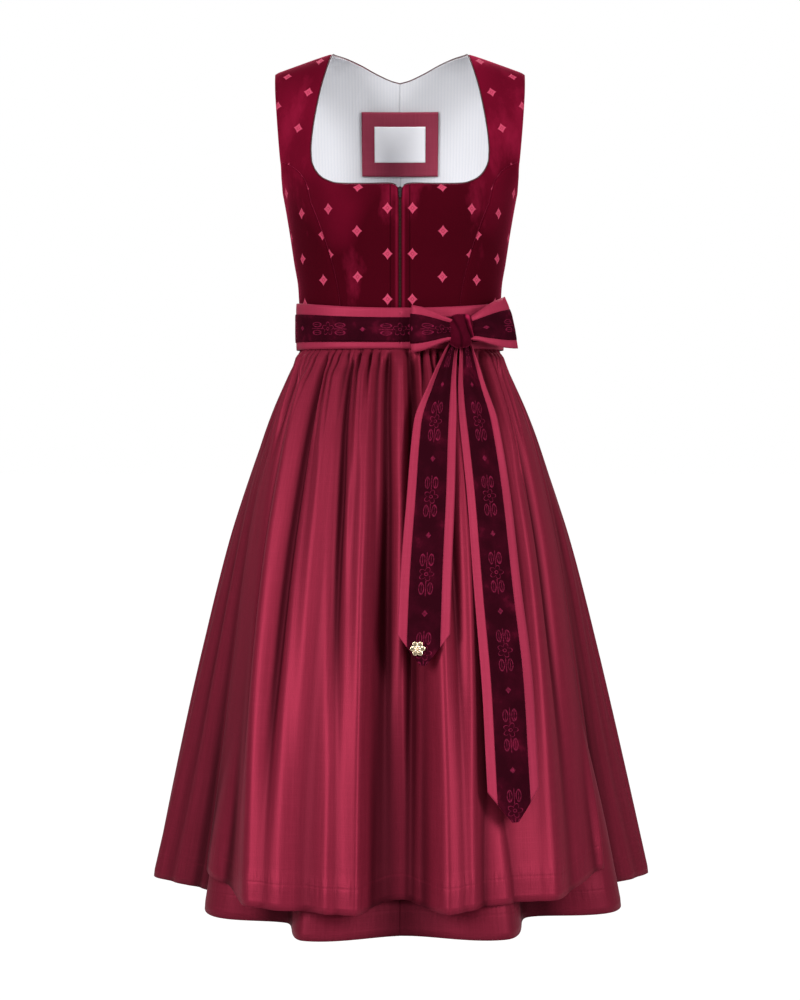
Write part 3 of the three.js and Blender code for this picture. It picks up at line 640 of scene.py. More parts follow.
def shoulderSeam(share):
    x = lerp(neckHalf, shoulderHalf, share)
    return math.asin((x / torsoHalfWidth(0)) ** (sectionPower / 2)), 0


def waistTo(start, end):
    return lambda share: torsoPlace(lerp(start, end, share), waistSeam)


def waistToSide(start):
    first = torsoPlace(start, waistSeam)[0]
    return lambda share: (lerp(first, math.pi / 2, share), waistLevel)


def sideSeam(share):
    return math.pi / 2, lerp(waistLevel, sideLevel, share)


def underarm(corner, low):
    angle, level = torsoPlace(*corner)
    return lambda share: (
        lerp(angle, math.pi / 2, share), lerp(level, sideLevel, math.sin(share * math.pi / 2) ** low)
    )


lowSplit, backSplit, strapSplit = 5 / 8, 8 / 13, 1 / 3
frontPrincess = joined(frontPrincessLow, frontPrincessHigh, lowSplit)
bodicePlaces = {
    "front": [
        patchPlaces(
            waistTo(zipHalfGap, 74), joined(frontNeck, neckFoot, lowSplit), frontEdge, frontPrincessLow,
            48, 40,
        ),
        patchPlaces(
            neckFoot, shoulderSeam, joined(neckRound, frontNeckSide, strapSplit),
            joined(frontPrincessHigh, armholeFront, strapSplit), 18, 72, strapSplit,
        ),
    ],
    "frontSide": [patchPlaces(waistToSide(74), underarm(frontArmhole, 0.8), frontPrincess, sideSeam, 28, 64)],
    "back": [
        patchPlaces(
            waistTo(seamGap / 2, 62), joined(backNeck, shoulderSeam, lowSplit), backEdge,
            joined(backPrincess, armholeBack, backSplit), 48, 104, backSplit,
        ),
    ],
    "backSide": [patchPlaces(waistToSide(62), underarm(backArmhole, 0.9), backPrincess, sideSeam, 28, 64)],
}
print("bodice lines laid out")

arcSteps = 24
arcTables = {}
# the pattern's drop follows the slope of the chest down to its fullest level
chestSlope, chestLevel = 0.35, 13.9


def clothPlace(half, angle, level):
    # how far round from the middle and how far down the cloth a place lies, in metres
    key = (half, round(level * 4))
    if key not in arcTables:
        at, reach = key[1] / 4, [0.0]
        for i in range(arcSteps):
            a, b = (torsoPoint(half, k / arcSteps * math.pi / 2, at) for k in (i, i + 1))
            reach.append(reach[-1] + (b - a).length)
        arcTables[key] = reach
    spot = min(arcSteps - 1e-6, abs(angle) / (math.pi / 2) * arcSteps)
    i = int(spot)
    across = lerp(arcTables[key][i], arcTables[key][i + 1], spot - i)
    down = -level * level - chestSlope * (torsoFront if half < 0 else torsoBack)(min(level, chestLevel))
    return across * 0.001, down * 0.001


# edges that roll in, and the line of stitches beside the zip
turnedEdge = {"depth": 0.9, "reach": 5.0, "sink": 0.25, "wave": 0.3}
stitchLine = {"depth": 0.6, "at": 12.0, "width": 1.7, "below": -183}
strapCloth = {
    "from": -0.235, "to": -0.150, "lean": 0.25, "leanFrom": -0.19, "across": 0.0217, "down": -0.0065,
    "outer": 0.167,
}


def edgeTree(half, grids):
    # the panel's outer edge as a search tree; a row shared by two grids isn't an edge
    found = []
    for number, places in enumerate(grids):
        last = len(places) - 1
        for j, row in enumerate(places):
            if 0 < j < last:
                row = [row[0], row[-1]]
            elif j == 0:
                # the waist is under the band; a strap's foot has its inner corner alone
                row = row[:number]
            elif number < len(grids) - 1:
                row = row[: int((len(row) - 1) * lowSplit) + 1]
            found.extend(torsoSurface(half, angle, level, 0) for angle, level in row)
    tree = kdtree.KDTree(len(found))
    for number, point in enumerate(found):
        tree.insert(point, number)
    tree.balance()
    return tree


def diamondPlace(half, across, down):
    # the pattern's place on the cloth, which leans inward on the straps
    if half > 0:
        return across, down
    share = smoothStep(strapCloth["from"], strapCloth["to"], down)
    lean = strapCloth["lean"] * max(0.0, down - strapCloth["leanFrom"])
    place = across + lean + share * strapCloth["across"]
    return place, down + share * (strapCloth["down"] - strapCloth["lean"] * (place - strapCloth["outer"]))


def panelGrid(name, places, half, side, inset, finish, shift=(0.0, 0.0), edges=None):
    def spot(angle, level):
        sink = inset
        across, down = clothPlace(half, angle, level)
        if edges:
            across, down = diamondPlace(half, across, down)
            plain = torsoSurface(half, angle, level, 0)
            far = edges.find(plain)[2]
            sink += turnedEdge["depth"] * max(0, 1 - far / turnedEdge["reach"]) ** 2 + turnedEdge["sink"]
            sink -= turnedEdge["wave"] * ripple(plain.x / 34, plain.z / 60, side * 7 + half * 3)
            if half < 0 and plain.z < stitchLine["below"]:
                off = (plain.x - stitchLine["at"]) / stitchLine["width"]
                sink += stitchLine["depth"] * math.exp(-(off ** 2))
        point = torsoSurface(half, angle, level, sink)
        point.x *= side
        return point, (side * (across + shift[0]), down + shift[1])

    return clothGrid(name, [[spot(*place) for place in row] for row in places], finish, flip=half * side > 0)


velvetPanels = {
    "front": {"half": -1, "shift": (-0.0154, 0.2471), "flat": (0.16, 0.40), "area": 0.030},
    "frontSide": {"half": -1, "shift": (-0.1012, 0.3334), "flat": (0.13, 0.22), "area": 0.019},
    "back": {"half": 1, "shift": (-0.0190, 0.0), "flat": (0.17, 0.37), "area": 0.042},
    "backSide": {"half": 1, "shift": (-0.0190, 0.0), "flat": (0.13, 0.24), "area": 0.021},
}


def sewnPanel(name, grids, wall, slot, node, facts, under):
    piece = weld(grids, name)
    thicken(piece, wall)
    bpy.ops.object.shade_smooth()
    seatCloth(piece, slot, node, facts["flat"], "stretched", [under], area=facts["area"])


def bodicePanel(kind, word, side):
    facts = velvetPanels[kind]
    half, node = facts["half"], "bodice_" + kind.replace("Side", "_side")
    name = node + "_velvet_" + word
    edges = edgeTree(half, bodicePlaces[kind])
    grids = [
        panelGrid(name + str(i), places, half, side, 0.0, bodiceVelvet, facts["shift"], edges)
        for i, places in enumerate(bodicePlaces[kind])
    ]
    under = ("lining_front_" if half < 0 else "lining_back_") + word
    sewnPanel(name, grids, 1.2, "bodice_velvet", node + "_" + word, facts, under)


liningPanels = {"front": {"flat": (0.24, 0.40), "area": 0.046}, "back": {"flat": (0.25, 0.38), "area": 0.063}}


def liningPanel(kind, word, side):
    half = -1 if kind == "front" else 1
    name = "lining_" + kind + "_cloth_" + word
    grids = []
    for key in (kind, kind + "Side"):
        for i, places in enumerate(bodicePlaces[key]):
            if key == "front" and i == 0:
                # the lining stops beside the zip
                places = [row[6:] for row in places]
            grids.append(panelGrid(name + key + str(i), places, half, side, 1.9, liningCotton))
    under = "bodice_" + kind + "_" + word
    sewnPanel(name, grids, 0.8, "lining", "lining_" + kind + "_" + word, liningPanels[kind], under)


for sideWord, sideSign in (("left", 1), ("right", -1)):
    for panelKind in velvetPanels:
        bodicePanel(panelKind, sideWord, sideSign)
    for panelKind in liningPanels:
        liningPanel(panelKind, sideWord, sideSign)
print("bodice sewn")


# label patch and label
def backPatch(name, halfWidth, top, bottom, inset, wall, finish, slot, node):
    columns, rows = 40, 30

    def spot(i, j):
        x, z = lerp(halfWidth, -halfWidth, i / columns), lerp(bottom, top, j / rows)
        edge = min(halfWidth - abs(x), z - bottom, top - z)
        puff = 0.25 * smoothStep(0, 3, edge) + 0.2 * ripple(x / 11, z / 11, 4.0) * smoothStep(0, 6, edge)
        return torsoSurface(1, *torsoPlace(x, z), inset + wall - 0.2 + puff), (x * 0.001, z * 0.001)

    piece = clothGrid(name, gridOf(columns, rows, spot), finish, wall=wall)
    seatCloth(piece, slot, node, (halfWidth * 0.002, (top - bottom) * 0.001), "laid", ["lining_back_left"])


liningInset = 2.8
backPatch("labelPatchSatin", 51, -64, -146, liningInset + 1.2, 0.8, patchSatin, "patch_satin", "label_patch")
backPatch("labelWoven", 34, -82, -127.5, liningInset + 2.6, 0.5, labelCotton, "label", "label")
print("label sewn in")

# the skirt
skirtTop, skirtHem, apronTop, apronHem = waistSeam - 0.6, -1066.0, -356.0, -1031.0
skirtLength, apronLength = waistSeam - skirtHem, apronTop - apronHem
# distance down, half width, front depth, back depth
skirtSections = [
    (0, 127.0, 90.5, 82.5), (28, 128.2, 91.8, 83.8), (36, 129.8, 95.5, 87.0), (59, 140.5, 108.5, 100),
    (111, 165, 137, 133), (163, 185, 161, 160), (267, 219, 201, 203), (423, 258, 249, 250),
    (579, 294, 292, 288), (714, 325, 330, 322),
]
skirtHalfWidth, skirtFront, skirtBack = columnCurves(skirtSections)
# angle, how far out the fold stands there
foldAtHem = smoothTable([
    (-180, -30), (-162, 12), (-147, -46), (-129, 4), (-111, -42), (-92, 2), (-69, -66), (-46, -13),
    (-29, -44), (-19, 18), (1, -22), (21, 17), (35, -56), (54, 0), (76, -50), (93, 2), (112, -44), (131, 4),
    (148, -46), (163, 12), (180, -30),
])
skirtGathers = 44
# gathers start under the band's lower edge
gathered = {"firm": 0.8, "full": 4.6, "from": 27, "to": 35}
# under the apron the skirt lies flatter and further in
underApron = {"edge": math.radians(64), "clear": math.radians(76), "flat": 0.2, "in": 9}


def foldGrowth(down):
    return (smoothStep(20, 900, down) * 1.16) ** 0.9


def gatherSwell(down, reach):
    swell = lerp(gathered["firm"], gathered["full"], smoothStep(gathered["from"], gathered["to"], down))
    return swell * (1 - smoothStep(0.2 * reach, reach, down))


def gatherShape(phase):
    # a gather: narrow valleys between rounded ridges
    wave = math.cos(phase)
    return wave + 0.45 - 0.75 * wave * wave


def skirtOut(angle, down):
    angle = angle - 2 * math.pi if angle > math.pi else angle
    reach = 190 + 90 * math.sin(angle * 5 + 1) + 40 * math.sin(angle * 11)
    wander = 0.35 * ripple(angle * 6, down / 140, 2.0)
    large = foldAtHem(math.degrees(angle)) * foldGrowth(down)
    phase = angle * skirtGathers + wander + 1.1 * math.sin(angle * 9 + 1)
    gather = gatherSwell(down, reach) * gatherShape(phase) * (0.8 + 0.2 * math.sin(angle * 7))
    bare = smoothStep(underApron["edge"], underApron["clear"], abs(angle))
    gather *= lerp(underApron["flat"], 1.0, bare)
    tucked = -underApron["in"] * (1 - bare) * between(27, 42, 420, 640, down)
    medium = ripple(angle * 8, down / 600, 11.0) + 0.6 * ripple(angle * 17, down / 450, 12.0)
    medium *= 8 * bare * smoothStep(90, 320, down)
    fine = 0.6 * ripple(angle * 30, down / 60, 5.0) * between(30, 80, 150, 420, down)
    return large + gather + fine + tucked + medium


def skirtBase(angle, down, out):
    power = lerp(2 / sectionPower, 1, smoothStep(0, 250, down))
    sine, cosine = math.sin(angle), math.cos(angle)
    deep = skirtFront(down) if cosine > 0 else skirtBack(down)
    x = skirtHalfWidth(down) * math.copysign(abs(sine) ** power, sine)
    y = -deep * math.copysign(abs(cosine) ** power, cosine)
    far = math.hypot(x, y)
    return Vector((x * (1 + out / far), y * (1 + out / far), skirtTop - down))


skirtPanels = {
    "front_right": {"start": -90, "end": 0, "columns": 240, "across": 0.60, "area": 0.33},
    "front_left": {"start": 0, "end": 90, "columns": 240, "across": 0.60, "area": 0.33},
    "back": {"start": 90, "end": 270, "columns": 420, "across": 1.20, "area": 0.66},
}


def skirtPanel(word):
    facts, rows, margin = skirtPanels[word], 100, foldShade["wide"]
    columns = facts["columns"]
    turns = [lerp(facts["start"], facts["end"], i / columns) for i in range(-margin, columns + margin + 1)]
    angles = [math.radians(turn) for turn in turns]
    spots = []
    for j in range(rows + 1):
        down = skirtLength * (1 - j / rows) ** 1.25
        heights = [skirtOut(angle, down) for angle in angles]
        line = []
        for i, hollow in enumerate(hollowRow(heights, margin)):
            angle = angles[i + margin]
            seam = 0.5 * max(0, 1 - min(i, columns - i) / 3) * smoothStep(60, 200, down)
            turned = max(0, 1 - (skirtLength - down) / 6)
            point = skirtBase(angle, down, heights[i + margin] - seam - turned)
            line.append((point, (angle * 0.33, (skirtLength - down) * 0.001), hollow))
        spots.append(line)
    piece = clothGrid("skirt" + word.title().replace("_", ""), spots, skirtSatin, wall=1.3)
    flat = (facts["across"], 0.715)
    seatCloth(piece, "skirt_satin", "skirt_" + word, flat, "gathered", ["waistband"], area=facts["area"])


for panelWord in skirtPanels:
    skirtPanel(panelWord)
print("skirt gathered")

# the apron
# place across, angle at the hem, how far out the fold stands there
apronFolds = [
    (0.0, -54, -30), (0.07, -42, -18), (0.13, -34, 14), (0.18, -29, 33), (0.24, -23.5, 32), (0.3, -18.5, 21),
    (0.36, -13, 29), (0.41, -8.5, 28), (0.455, -5, -8), (0.5, 0, -22), (0.55, 4.5, -10), (0.6, 9.5, 25),
    (0.65, 13.5, 20), (0.71, 19, 4), (0.77, 25, 6), (0.84, 32, 15), (0.9, 39, 0), (0.95, 45, -6),
    (1.0, 52, -14),
]
apronAngle, apronFold = columnCurves(apronFolds)
apronLift = smoothTable([(0, 12), (0.15, 1), (0.42, 0), (0.5, 7), (0.58, 0), (0.74, 4), (0.85, 2), (1, 18)])
apronReach, apronGathers = 73, 26
# creases laid one by one: place across at the waist and at the hem, height, half width, start and end
apronCreases = [
    (.085, .12, -6.0, .016, 50, 620), (.155, .155, 5.0, .022, 50, 700), (.222, .205, -10.0, .017, 26, 640),
    (.290, .285, 5.5, .024, 40, 640), (.338, .372, -9.5, .015, 26, 560), (.375, .350, 3.5, .012, 40, 420),
    (.405, .418, 5.0, .018, 40, 600), (.436, .445, -4.0, .009, 26, 330), (.466, .468, -8.5, .013, 26, 620),
    (.503, .500, 6.0, .016, 30, 600), (.538, .524, -10.0, .013, 26, 660), (.580, .590, 5.5, .020, 40, 620),
    (.625, .640, -8.0, .015, 26, 560), (.670, .665, 5.0, .020, 40, 620), (.712, .720, -8.5, .016, 26, 640),
    (.765, .770, 5.0, .024, 40, 640), (.820, .815, -8.0, .018, 26, 600), (.905, .900, -6.0, .018, 40, 620),
]


def softMax(a, b, blend):
    return (a + b + math.hypot(a - b, blend)) / 2


def apronCrease(place, down):
    height = 0.0
    for waist, hem, rise, wide, start, end in apronCreases:
        middle = lerp(waist, hem, min(1, down / apronLength))
        if abs(place - middle) > 3.2 * wide:
            continue
        grow = smoothStep(start, start + 24, down) * (1 - 0.8 * smoothStep(end - 320, end, down))
        height += 1.25 * rise * grow * math.exp(-(((place - middle) / wide) ** 2))
    return height


def apronSpot(place, share):
    # the angle, the distance down and the height of a place on the apron
    z = lerp(apronTop, apronHem + apronLift(place), share)
    down = skirtTop - z
    degrees = lerp(lerp(-apronReach, apronReach, place), apronAngle(place), share ** 0.7)
    angle = math.radians(degrees)
    under = skirtOut(angle, down) + lerp(2.2, 4.5, smoothStep(40, 200, down))
    reach = 150 + 70 * math.sin(place * 23) + 40 * math.sin(place * 51 + 1)
    own = lerp(2.9, 8.5, smoothStep(27, 40, down)) + 1.5 * smoothStep(70, 240, down)
    own += apronFold(place) * smoothStep(-60, 640, down) ** 0.9 * smoothStep(28, 60, down)
    wander = 0.5 * ripple(place * 14, down / 150, 9.0)
    gather = (
        gatherSwell(down, reach) * (0.9 + 0.35 * math.sin(place * 37))
        * gatherShape(place * apronGathers * 2 * math.pi + wander + 1.5 * math.sin(place * 41 + 1))
    )
    fine = 0.6 * ripple(place * 48, down / 90, 3.0) * between(30, 60, 120, 330, down)
    banded = smoothStep(27, 33, down)
    above = own + gather + fine + apronCrease(place, down) * banded
    out = lerp(own + 0.4 * gather, softMax(under + banded, above, 2), banded)
    return angle, down, out


def apronSheet():
    columns, rows = 416, 104
    spots = []
    for j in range(rows + 1):
        share = (1 - j / rows) ** 1.25
        line = [apronSpot(i / columns, share) for i in range(columns + 1)]
        row = []
        for i, hollow in enumerate(hollowRow([out for _, _, out in line], 0)):
            angle, down, out = line[i]
            turned = 0.9 * max(0, 1 - min(i, columns - i) / 2) + 0.9 * max(0, 1 - j / 1.5)
            place = (i / columns * 0.80, (1 - share) * 0.675)
            row.append((skirtBase(angle, down, out - turned), place, hollow))
        spots.append(row)
    piece = clothGrid("apronCloth", spots, apronSatin, wall=0.9)
    under = ["waistband", "skirtFrontLeft", "skirtFrontRight"]
    seatCloth(piece, "apron_satin", "apron", (0.90, 0.675), "gathered", under, area=0.42)


apronSheet()
print("apron gathered")

# ribbon pieces
ribbonWidth, velvetWidth = 54.0, 34.0
spray = {
    "period": 0.090, "petals": 5, "petalOut": 0.0042, "petalIn": 0.0038, "line": 0.00042, "leafAt": 0.0165,
    "leafOff": 0.0046, "leafHalf": 0.0026, "leafLong": 0.0062,
}


def ribbonVelvetFinish(name):
    # tone-on-tone stitching: a five-petalled blossom between outlined leaves, then a small diamond
    finish = Finish(
        name, 0.82, Sheen_Weight=0.6, Sheen_Roughness=0.32, Sheen_Tint=(0.36, 0.02, 0.07, 1),
        Specular_IOR_Level=0.02,
    )
    crushed, pile = finish.grain(38.0, 4.0), finish.grain(1900.0, 2.0)
    tone = finish.blend((crushed - 0.42) * 2.4, (0.020, 0.0009, 0.0040), (0.046, 0.0016, 0.0085))
    tone = finish.blend((crushed - 0.60) * 4.0, tone, (0.105, 0.004, 0.018))
    tone = finish.blend((pile - 0.5) * 0.6, tone, (0.016, 0.001, 0.003))
    u = finish.axis("UV", 0)
    v = finish.axis("UV", 1).cell(spray["period"])
    far = (u * u + v * v) ** 0.5
    turn = v.maths("ARCTAN2", u)
    petal = abs((turn * (spray["petals"] / 2)).maths("COSINE"))
    soft = spray["line"] * 0.6
    blossom = abs(far - petal * spray["petalOut"] - spray["petalIn"]).under(spray["line"], soft)
    eye = abs(far - 0.0017).under(spray["line"], soft)
    leafAcross = (abs(u) - spray["leafOff"]) / spray["leafHalf"]
    leafAlong = (abs(v) - spray["leafAt"]) / spray["leafLong"]
    leaf = abs((leafAcross * leafAcross + leafAlong * leafAlong) ** 0.5 - 1).under(0.15, 0.1)
    vein = abs(abs(u) - spray["leafOff"]).under(0.0003, 0.0002) * abs(leafAlong).under(0.8, 0.1)
    stem = abs(u).under(0.0004, 0.0003) * abs(abs(v) - spray["leafAt"]).under(0.0085, 0.001)
    midway = abs((v + spray["period"] / 2).cell(spray["period"]))
    diamond = (abs(u) / 0.0030 + midway / 0.0038).under(1.0, 0.12)
    mask = blossom
    for part in (eye, leaf, vein, stem, diamond):
        mask = mask.maths("MAXIMUM", part)
    threads = finish.grain(520.0, 1.0, (1, 0.3, 1), "UV")
    wearAndHighlight = (finish.grain(300.0, 2.0, (1, 1, 1), "UV") - 0.25) * 2.2
    stitched = finish.blend(threads, (0.120, 0.005, 0.024), (0.26, 0.014, 0.056))
    finish.color(finish.blend((mask * wearAndHighlight).maths("MINIMUM", 0.9), tone, stitched))
    finish.roughness(0.84 - mask * 0.36)
    finish.bump(pile * 0.4 * (1 - mask) + mask * (threads * 0.8 + 0.5), 0.45, 0.0006)
    return finish


ribbonVelvet = ribbonVelvetFinish("ribbonVelvetStitched")
bandForm = {
    "halfWidth": 133.2, "front": 97.4, "back": 88.8, "top": -321, "dip": 9, "bottom": -381, "figures": 8,
}


def bandPoint(angle, across, out):
    power = 2 / sectionPower
    sine, cosine = math.sin(angle), math.cos(angle)
    deep = bandForm["front"] if cosine > 0 else bandForm["back"]
    upper = bandForm["top"] - bandForm["dip"] * max(0, cosine) ** 2
    return Vector((
        (bandForm["halfWidth"] + out) * math.copysign(abs(sine) ** power, sine),
        -(deep + out) * math.copysign(abs(cosine) ** power, cosine),
        lerp(bandForm["bottom"], upper, across),
    ))


def bandSheet(name, low, high, lift, wall, finish, slot, node, rows):
    columns = 360
    reach = [0.0]
    for i in range(columns):
        start, end = (bandPoint(k / columns * 2 * math.pi, 0.5, lift) for k in (i, i + 1))
        reach.append(reach[-1] + (end - start).length)

    def spot(i, j):
        across, angle = lerp(low, high, j / rows), i / columns * 2 * math.pi
        dip = 0.35 * max(0, 1 - min(j, rows - j) / 1.2)
        out = lift - dip + 0.35 * ripple(angle * 9, across * 3, 6.0)
        along = bandForm["figures"] * spray["period"] * reach[i] / reach[-1]
        return bandPoint(angle, across, out), ((across - (low + high) / 2) * 0.052, along)

    piece = weld([clothGrid(name, gridOf(columns, rows, spot), finish, wall=wall)], name)
    under = ["bodice_front_left", "skirt_back"]
    seatCloth(piece, slot, node, (0.72, (high - low) * 0.054), "stretched", under)


bandSheet("waistbandSatin", 0, 1, 1.1, 0.9, ribbonSatin, "ribbon_satin", "waistband", 14)
bandSheet(
    "waistbandVelvetRibbon", 0.165, 0.765, 2.5, 1.0, ribbonVelvet, "ribbon_velvet", "waistband_velvet", 12,
)
print("waistband laid")

# the bow
knot = {
    "x": 75.4, "y": -101.6, "z": -359, "turn": 0.36, "halfWidth": 17.5, "halfDepth": 13.5,
    "halfHeight": 21.34,
}


def bowKnot():
    turned = Vector((math.cos(knot["turn"]), math.sin(knot["turn"]), 0))
    outward = Vector((math.sin(knot["turn"]), -math.cos(knot["turn"]), 0))

    def spot(a, b, c):
        square = (abs(a) ** 2.5 + abs(b) ** 2.5 + abs(c) ** 2.5) ** (-1 / 2.5)
        # pleats that run over the knot and draw together at its top and bottom
        lean = a + 0.25 * c + 0.12 * math.sin(c * 2.6)
        valley, crest = (math.exp(-(((lean - at) / wide) ** 2)) for at, wide in ((0.40, 0.10), (0.62, 0.09)))
        valley += 0.7 * math.exp(-(((lean + 0.42) / 0.10) ** 2))
        pleat = (1.5 * crest - 1.4 * valley) * (1 - abs(c) ** 3 * 0.4) + 2.2 * ripple(a * 1.9, c * 1.9, 1.0)
        # a painted highlight patch near the top of the knot
        wearAndHighlight = math.exp(-((a - 0.22) / 0.16) ** 2 - ((c - 0.74) / 0.13) ** 2)
        pinch = 1 - 0.12 * max(0, 1 - abs(c) * 1.4)
        point = (
            turned * a * square * knot["halfWidth"] * pinch + outward * -b * square * knot["halfDepth"]
            + Vector((0, 0, c * square * knot["halfHeight"]))
        )
        grow = Vector((a, -b, c)).normalized() * pleat * (0.25 if b > 0 else 1)
        point += turned * grow.x + outward * grow.y + Vector((0, 0, grow.z * 0.5))
        # painted shade in the valley, and painted highlight on the crest and the patch, carried by the mesh
        return point + Vector((knot["x"], knot["y"], knot["z"])), valley - 0.45 * crest - wearAndHighlight

    piece = roundPiece("bowKnotVelvet", 96, 64, spot, knotVelvet)
    seat(piece, "ribbon_velvet", "bow_knot")


bowKnot()

# the ribbon's satin, and the velvet laid on it
ribbonLayers = {
    "Satin": {
        "width": ribbonWidth, "lift": 0.0, "finish": ribbonSatin, "slot": "ribbon_satin", "node": "",
        "loopRows": 16, "tailColumns": 28,
    },
    "Velvet": {
        "width": velvetWidth, "lift": 1.3, "finish": ribbonVelvet, "slot": "ribbon_velvet", "node": "velvet_",
        "loopRows": 14, "tailColumns": 22,
    },
}
ribbonLayerWall = 0.8
# share of the way out, how far in front, half width, drop, from the knot out along the front and back again
loopSteps = [
    (0.1, -6.5, 12, 0), (0.3, -10, 15.5, 0), (0.55, -10, 22, 1), (0.8, -7, 27.5, 2), (0.94, -4, 29, 2.5),
    (1.0, 0, 29.5, 2.5), (0.94, 3.5, 29, 2.5), (0.75, 4.2, 26, 2), (0.5, 4, 20, 1), (0.25, 4, 15, 0),
    (0.1, 4, 12, 0),
]
loops = {
    "left": {"side": 1, "across": 68, "back": 38, "rise": 11, "lean": 6, "corner": 1, "flat": 0.148},
    "right": {"side": -1, "across": -62, "back": -6, "rise": 5, "lean": 0, "corner": 0, "flat": 0.118},
}


def bowLoop(word, kind):
    facts, layer = loops[word], ribbonLayers[kind]
    side, rows, count, last = facts["side"], layer["loopRows"], 120, len(loopSteps) - 1
    share = layer["width"] / ribbonWidth
    curves = columnCurves([
        (
            i, knot["x"] + facts["across"] * out, knot["y"] + facts["back"] * out ** 1.3 + front, half,
            knot["z"] + facts["rise"] * out - drop, facts["lean"] * out, out,
        )
        for i, (out, front, half, drop) in enumerate(loopSteps)
    ])

    def spot(i, j):
        across, at = 2 * j / rows - 1, i / count * last
        x, y, half, z, lean, out = (curve(at) for curve in curves)
        nearby = (max(0, at - 0.05), min(last, at + 0.05))
        before, after = (Vector([curve(place) for curve in curves[:2]]) for place in nearby)
        ahead = (after - before).normalized()
        facing = Vector((ahead.y, -ahead.x, 0)) * side
        # gathers that fan out from the knot, and an end that bows a little
        fan = (1 - out) ** 1.4
        pleat = 2.3 * fan * math.cos(across * share * 7.5 + 0.5 * side) + 0.5 * ripple(at, across * 2, side)
        cup = 0.8 * (1 - (across * share) ** 2) * out
        edge = 0.3 * max(0, 1 - min(j, rows - j) / 1.2)
        reach = layer["lift"] + pleat + cup - 0.8 - edge
        # the left loop's upper corner rolls up and back
        corner = max(0, across * share) ** 3 * out * facts["corner"]
        point = Vector((
            x - across * lean * share - 5 * corner + facing.x * reach, y + facing.y * reach,
            z + across * half * share + 6 * corner,
        ))
        return point, (across * layer["width"] * 0.0005, i / count * 0.15 + side * 0.02)

    name, spots = "bowLoop" + kind + "_" + word, gridOf(count, rows, spot)
    piece = clothGrid(name, spots, layer["finish"], wall=ribbonLayerWall, flip=side < 0)
    node, flat = "bow_loop_" + layer["node"] + word, (facts["flat"], layer["width"] * 0.001)
    seatCloth(piece, layer["slot"], node, flat, "folded", ["waistband", "bow_knot"])


for sideWord in loops:
    for layerKind in ribbonLayers:
        bowLoop(sideWord, layerKind)
print("bow loops tied")

# rows: distance down, middle, half width, how far in front of the apron's form
tails = {
    "right": {"tuck": -0.5, "curl": 0, "rows": [
        (-10, 69, 5, 15), (4, 63, 8, 14), (45, 52, 17, 11), (90, 43, 26, 12), (180, 37, 29, 18),
        (270, 31, 30.5, 24), (340, 28, 31, 28), (374, 27, 31, 29),
    ]},
    "left": {"tuck": 0.7, "curl": 1.5, "rows": [
        (-10, 81, 6, 14), (4, 84, 9, 16), (45, 89, 17, 12), (90, 97, 24, 12), (180, 108, 27, 18),
        (290, 117, 29, 25), (400, 127, 31, 31), (490, 131, 31, 35), (553, 134, 31, 36),
    ]},
}
tailTop = -381.0
tailCut = {"corner": 35, "tip": 0.12}


def tailHeights(word):
    # the tail hangs in front of the apron's highest fold across its width
    rows, step = tails[word]["rows"], 15
    middle, half, planned = columnCurves(rows)
    found = []
    for down in range(step, rows[-1][0] + step, step):
        share = (apronTop - tailTop + down) / apronLength
        spots = [apronSpot(place / 120, share) for place in range(36, 121)]
        reach = half(down) + 3
        under = [spot[2] for spot in spots if abs(skirtBase(*spot).x - middle(down)) < reach]
        found.append((down, max(under) + lerp(4.0, 2.2, smoothStep(60, 200, down))))
    heights = [(row[0], row[3] + 5) for row in rows if row[0] < step]
    for i, (down, _) in enumerate(found):
        nearby = max(height for _, height in found[max(0, i - 1): i + 2])
        heights.append((down, max(planned(down) + 3, nearby)))
    return smoothTable(heights)


tailClear = {word: tailHeights(word) for word in tails}


def tailSurface(word, x, down, out):
    below = skirtTop - tailTop + down
    clear = tailClear[word](down) + out
    power = lerp(2 / sectionPower, 1, smoothStep(0, 250, below))
    baseX, point = x, None
    for _ in range(6):
        ratio = min(0.98, abs(baseX) / skirtHalfWidth(below))
        angle = math.copysign(math.asin(ratio ** (1 / power)), baseX)
        point = skirtBase(angle, below, clear)
        baseX += 0.8 * (x - point.x)
    return point


def bowTail(word, kind):
    facts, layer = tails[word], ribbonLayers[kind]
    rows, width, columns, count = facts["rows"], layer["width"], layer["tailColumns"], 150
    middle, half, _ = columnCurves(rows)
    length, top, share = rows[-1][0], rows[0][0], width / ribbonWidth

    def spot(i, j):
        value = 2 * i / columns - 1
        side = value * share
        cut = tailCut["corner"] * max(0, (abs(side) - tailCut["tip"]) / (1 - tailCut["tip"]))
        down = lerp(length - cut, top, j / count)
        # folds where the ribbon leaves the knot, and a slight lengthwise wave below
        tuck = (1 - smoothStep(20, 190, down)) * 3.2 * math.cos(side * 5.2 + facts["tuck"])
        curl = 1.2 * math.sin(down / 62 + side * 1.1 + facts["curl"]) * smoothStep(60, 200, down)
        crown = 1.6 * (1 - side * side) * smoothStep(100, 260, down)
        edge = 0.3 * max(0, 1 - min(i, columns - i) / 1.2)
        reach = layer["lift"] + tuck + curl + crown - 0.6 - edge
        point = tailSurface(word, middle(down) + side * half(down), down, reach)
        return point, (value * width * 0.0005, -down * 0.001)

    name, spots = "bowTail" + kind + "_" + word, gridOf(columns, count, spot)
    piece = clothGrid(name, spots, layer["finish"], wall=ribbonLayerWall)
    node, flat = "bow_tail_" + layer["node"] + word, (width * 0.0011, (length - top) * 0.00104)
    seatCloth(piece, layer["slot"], node, flat, "hung", ["bow_knot"])


for sideWord in tails:
    for layerKind in ribbonLayers:
        bowTail(sideWord, layerKind)
print("bow tails hung")

# the gold rosette
rosette = {"x": 20.5, "z": -735.5, "petals": 6, "out": 6.2, "swell": 2.8, "height": 2.0}


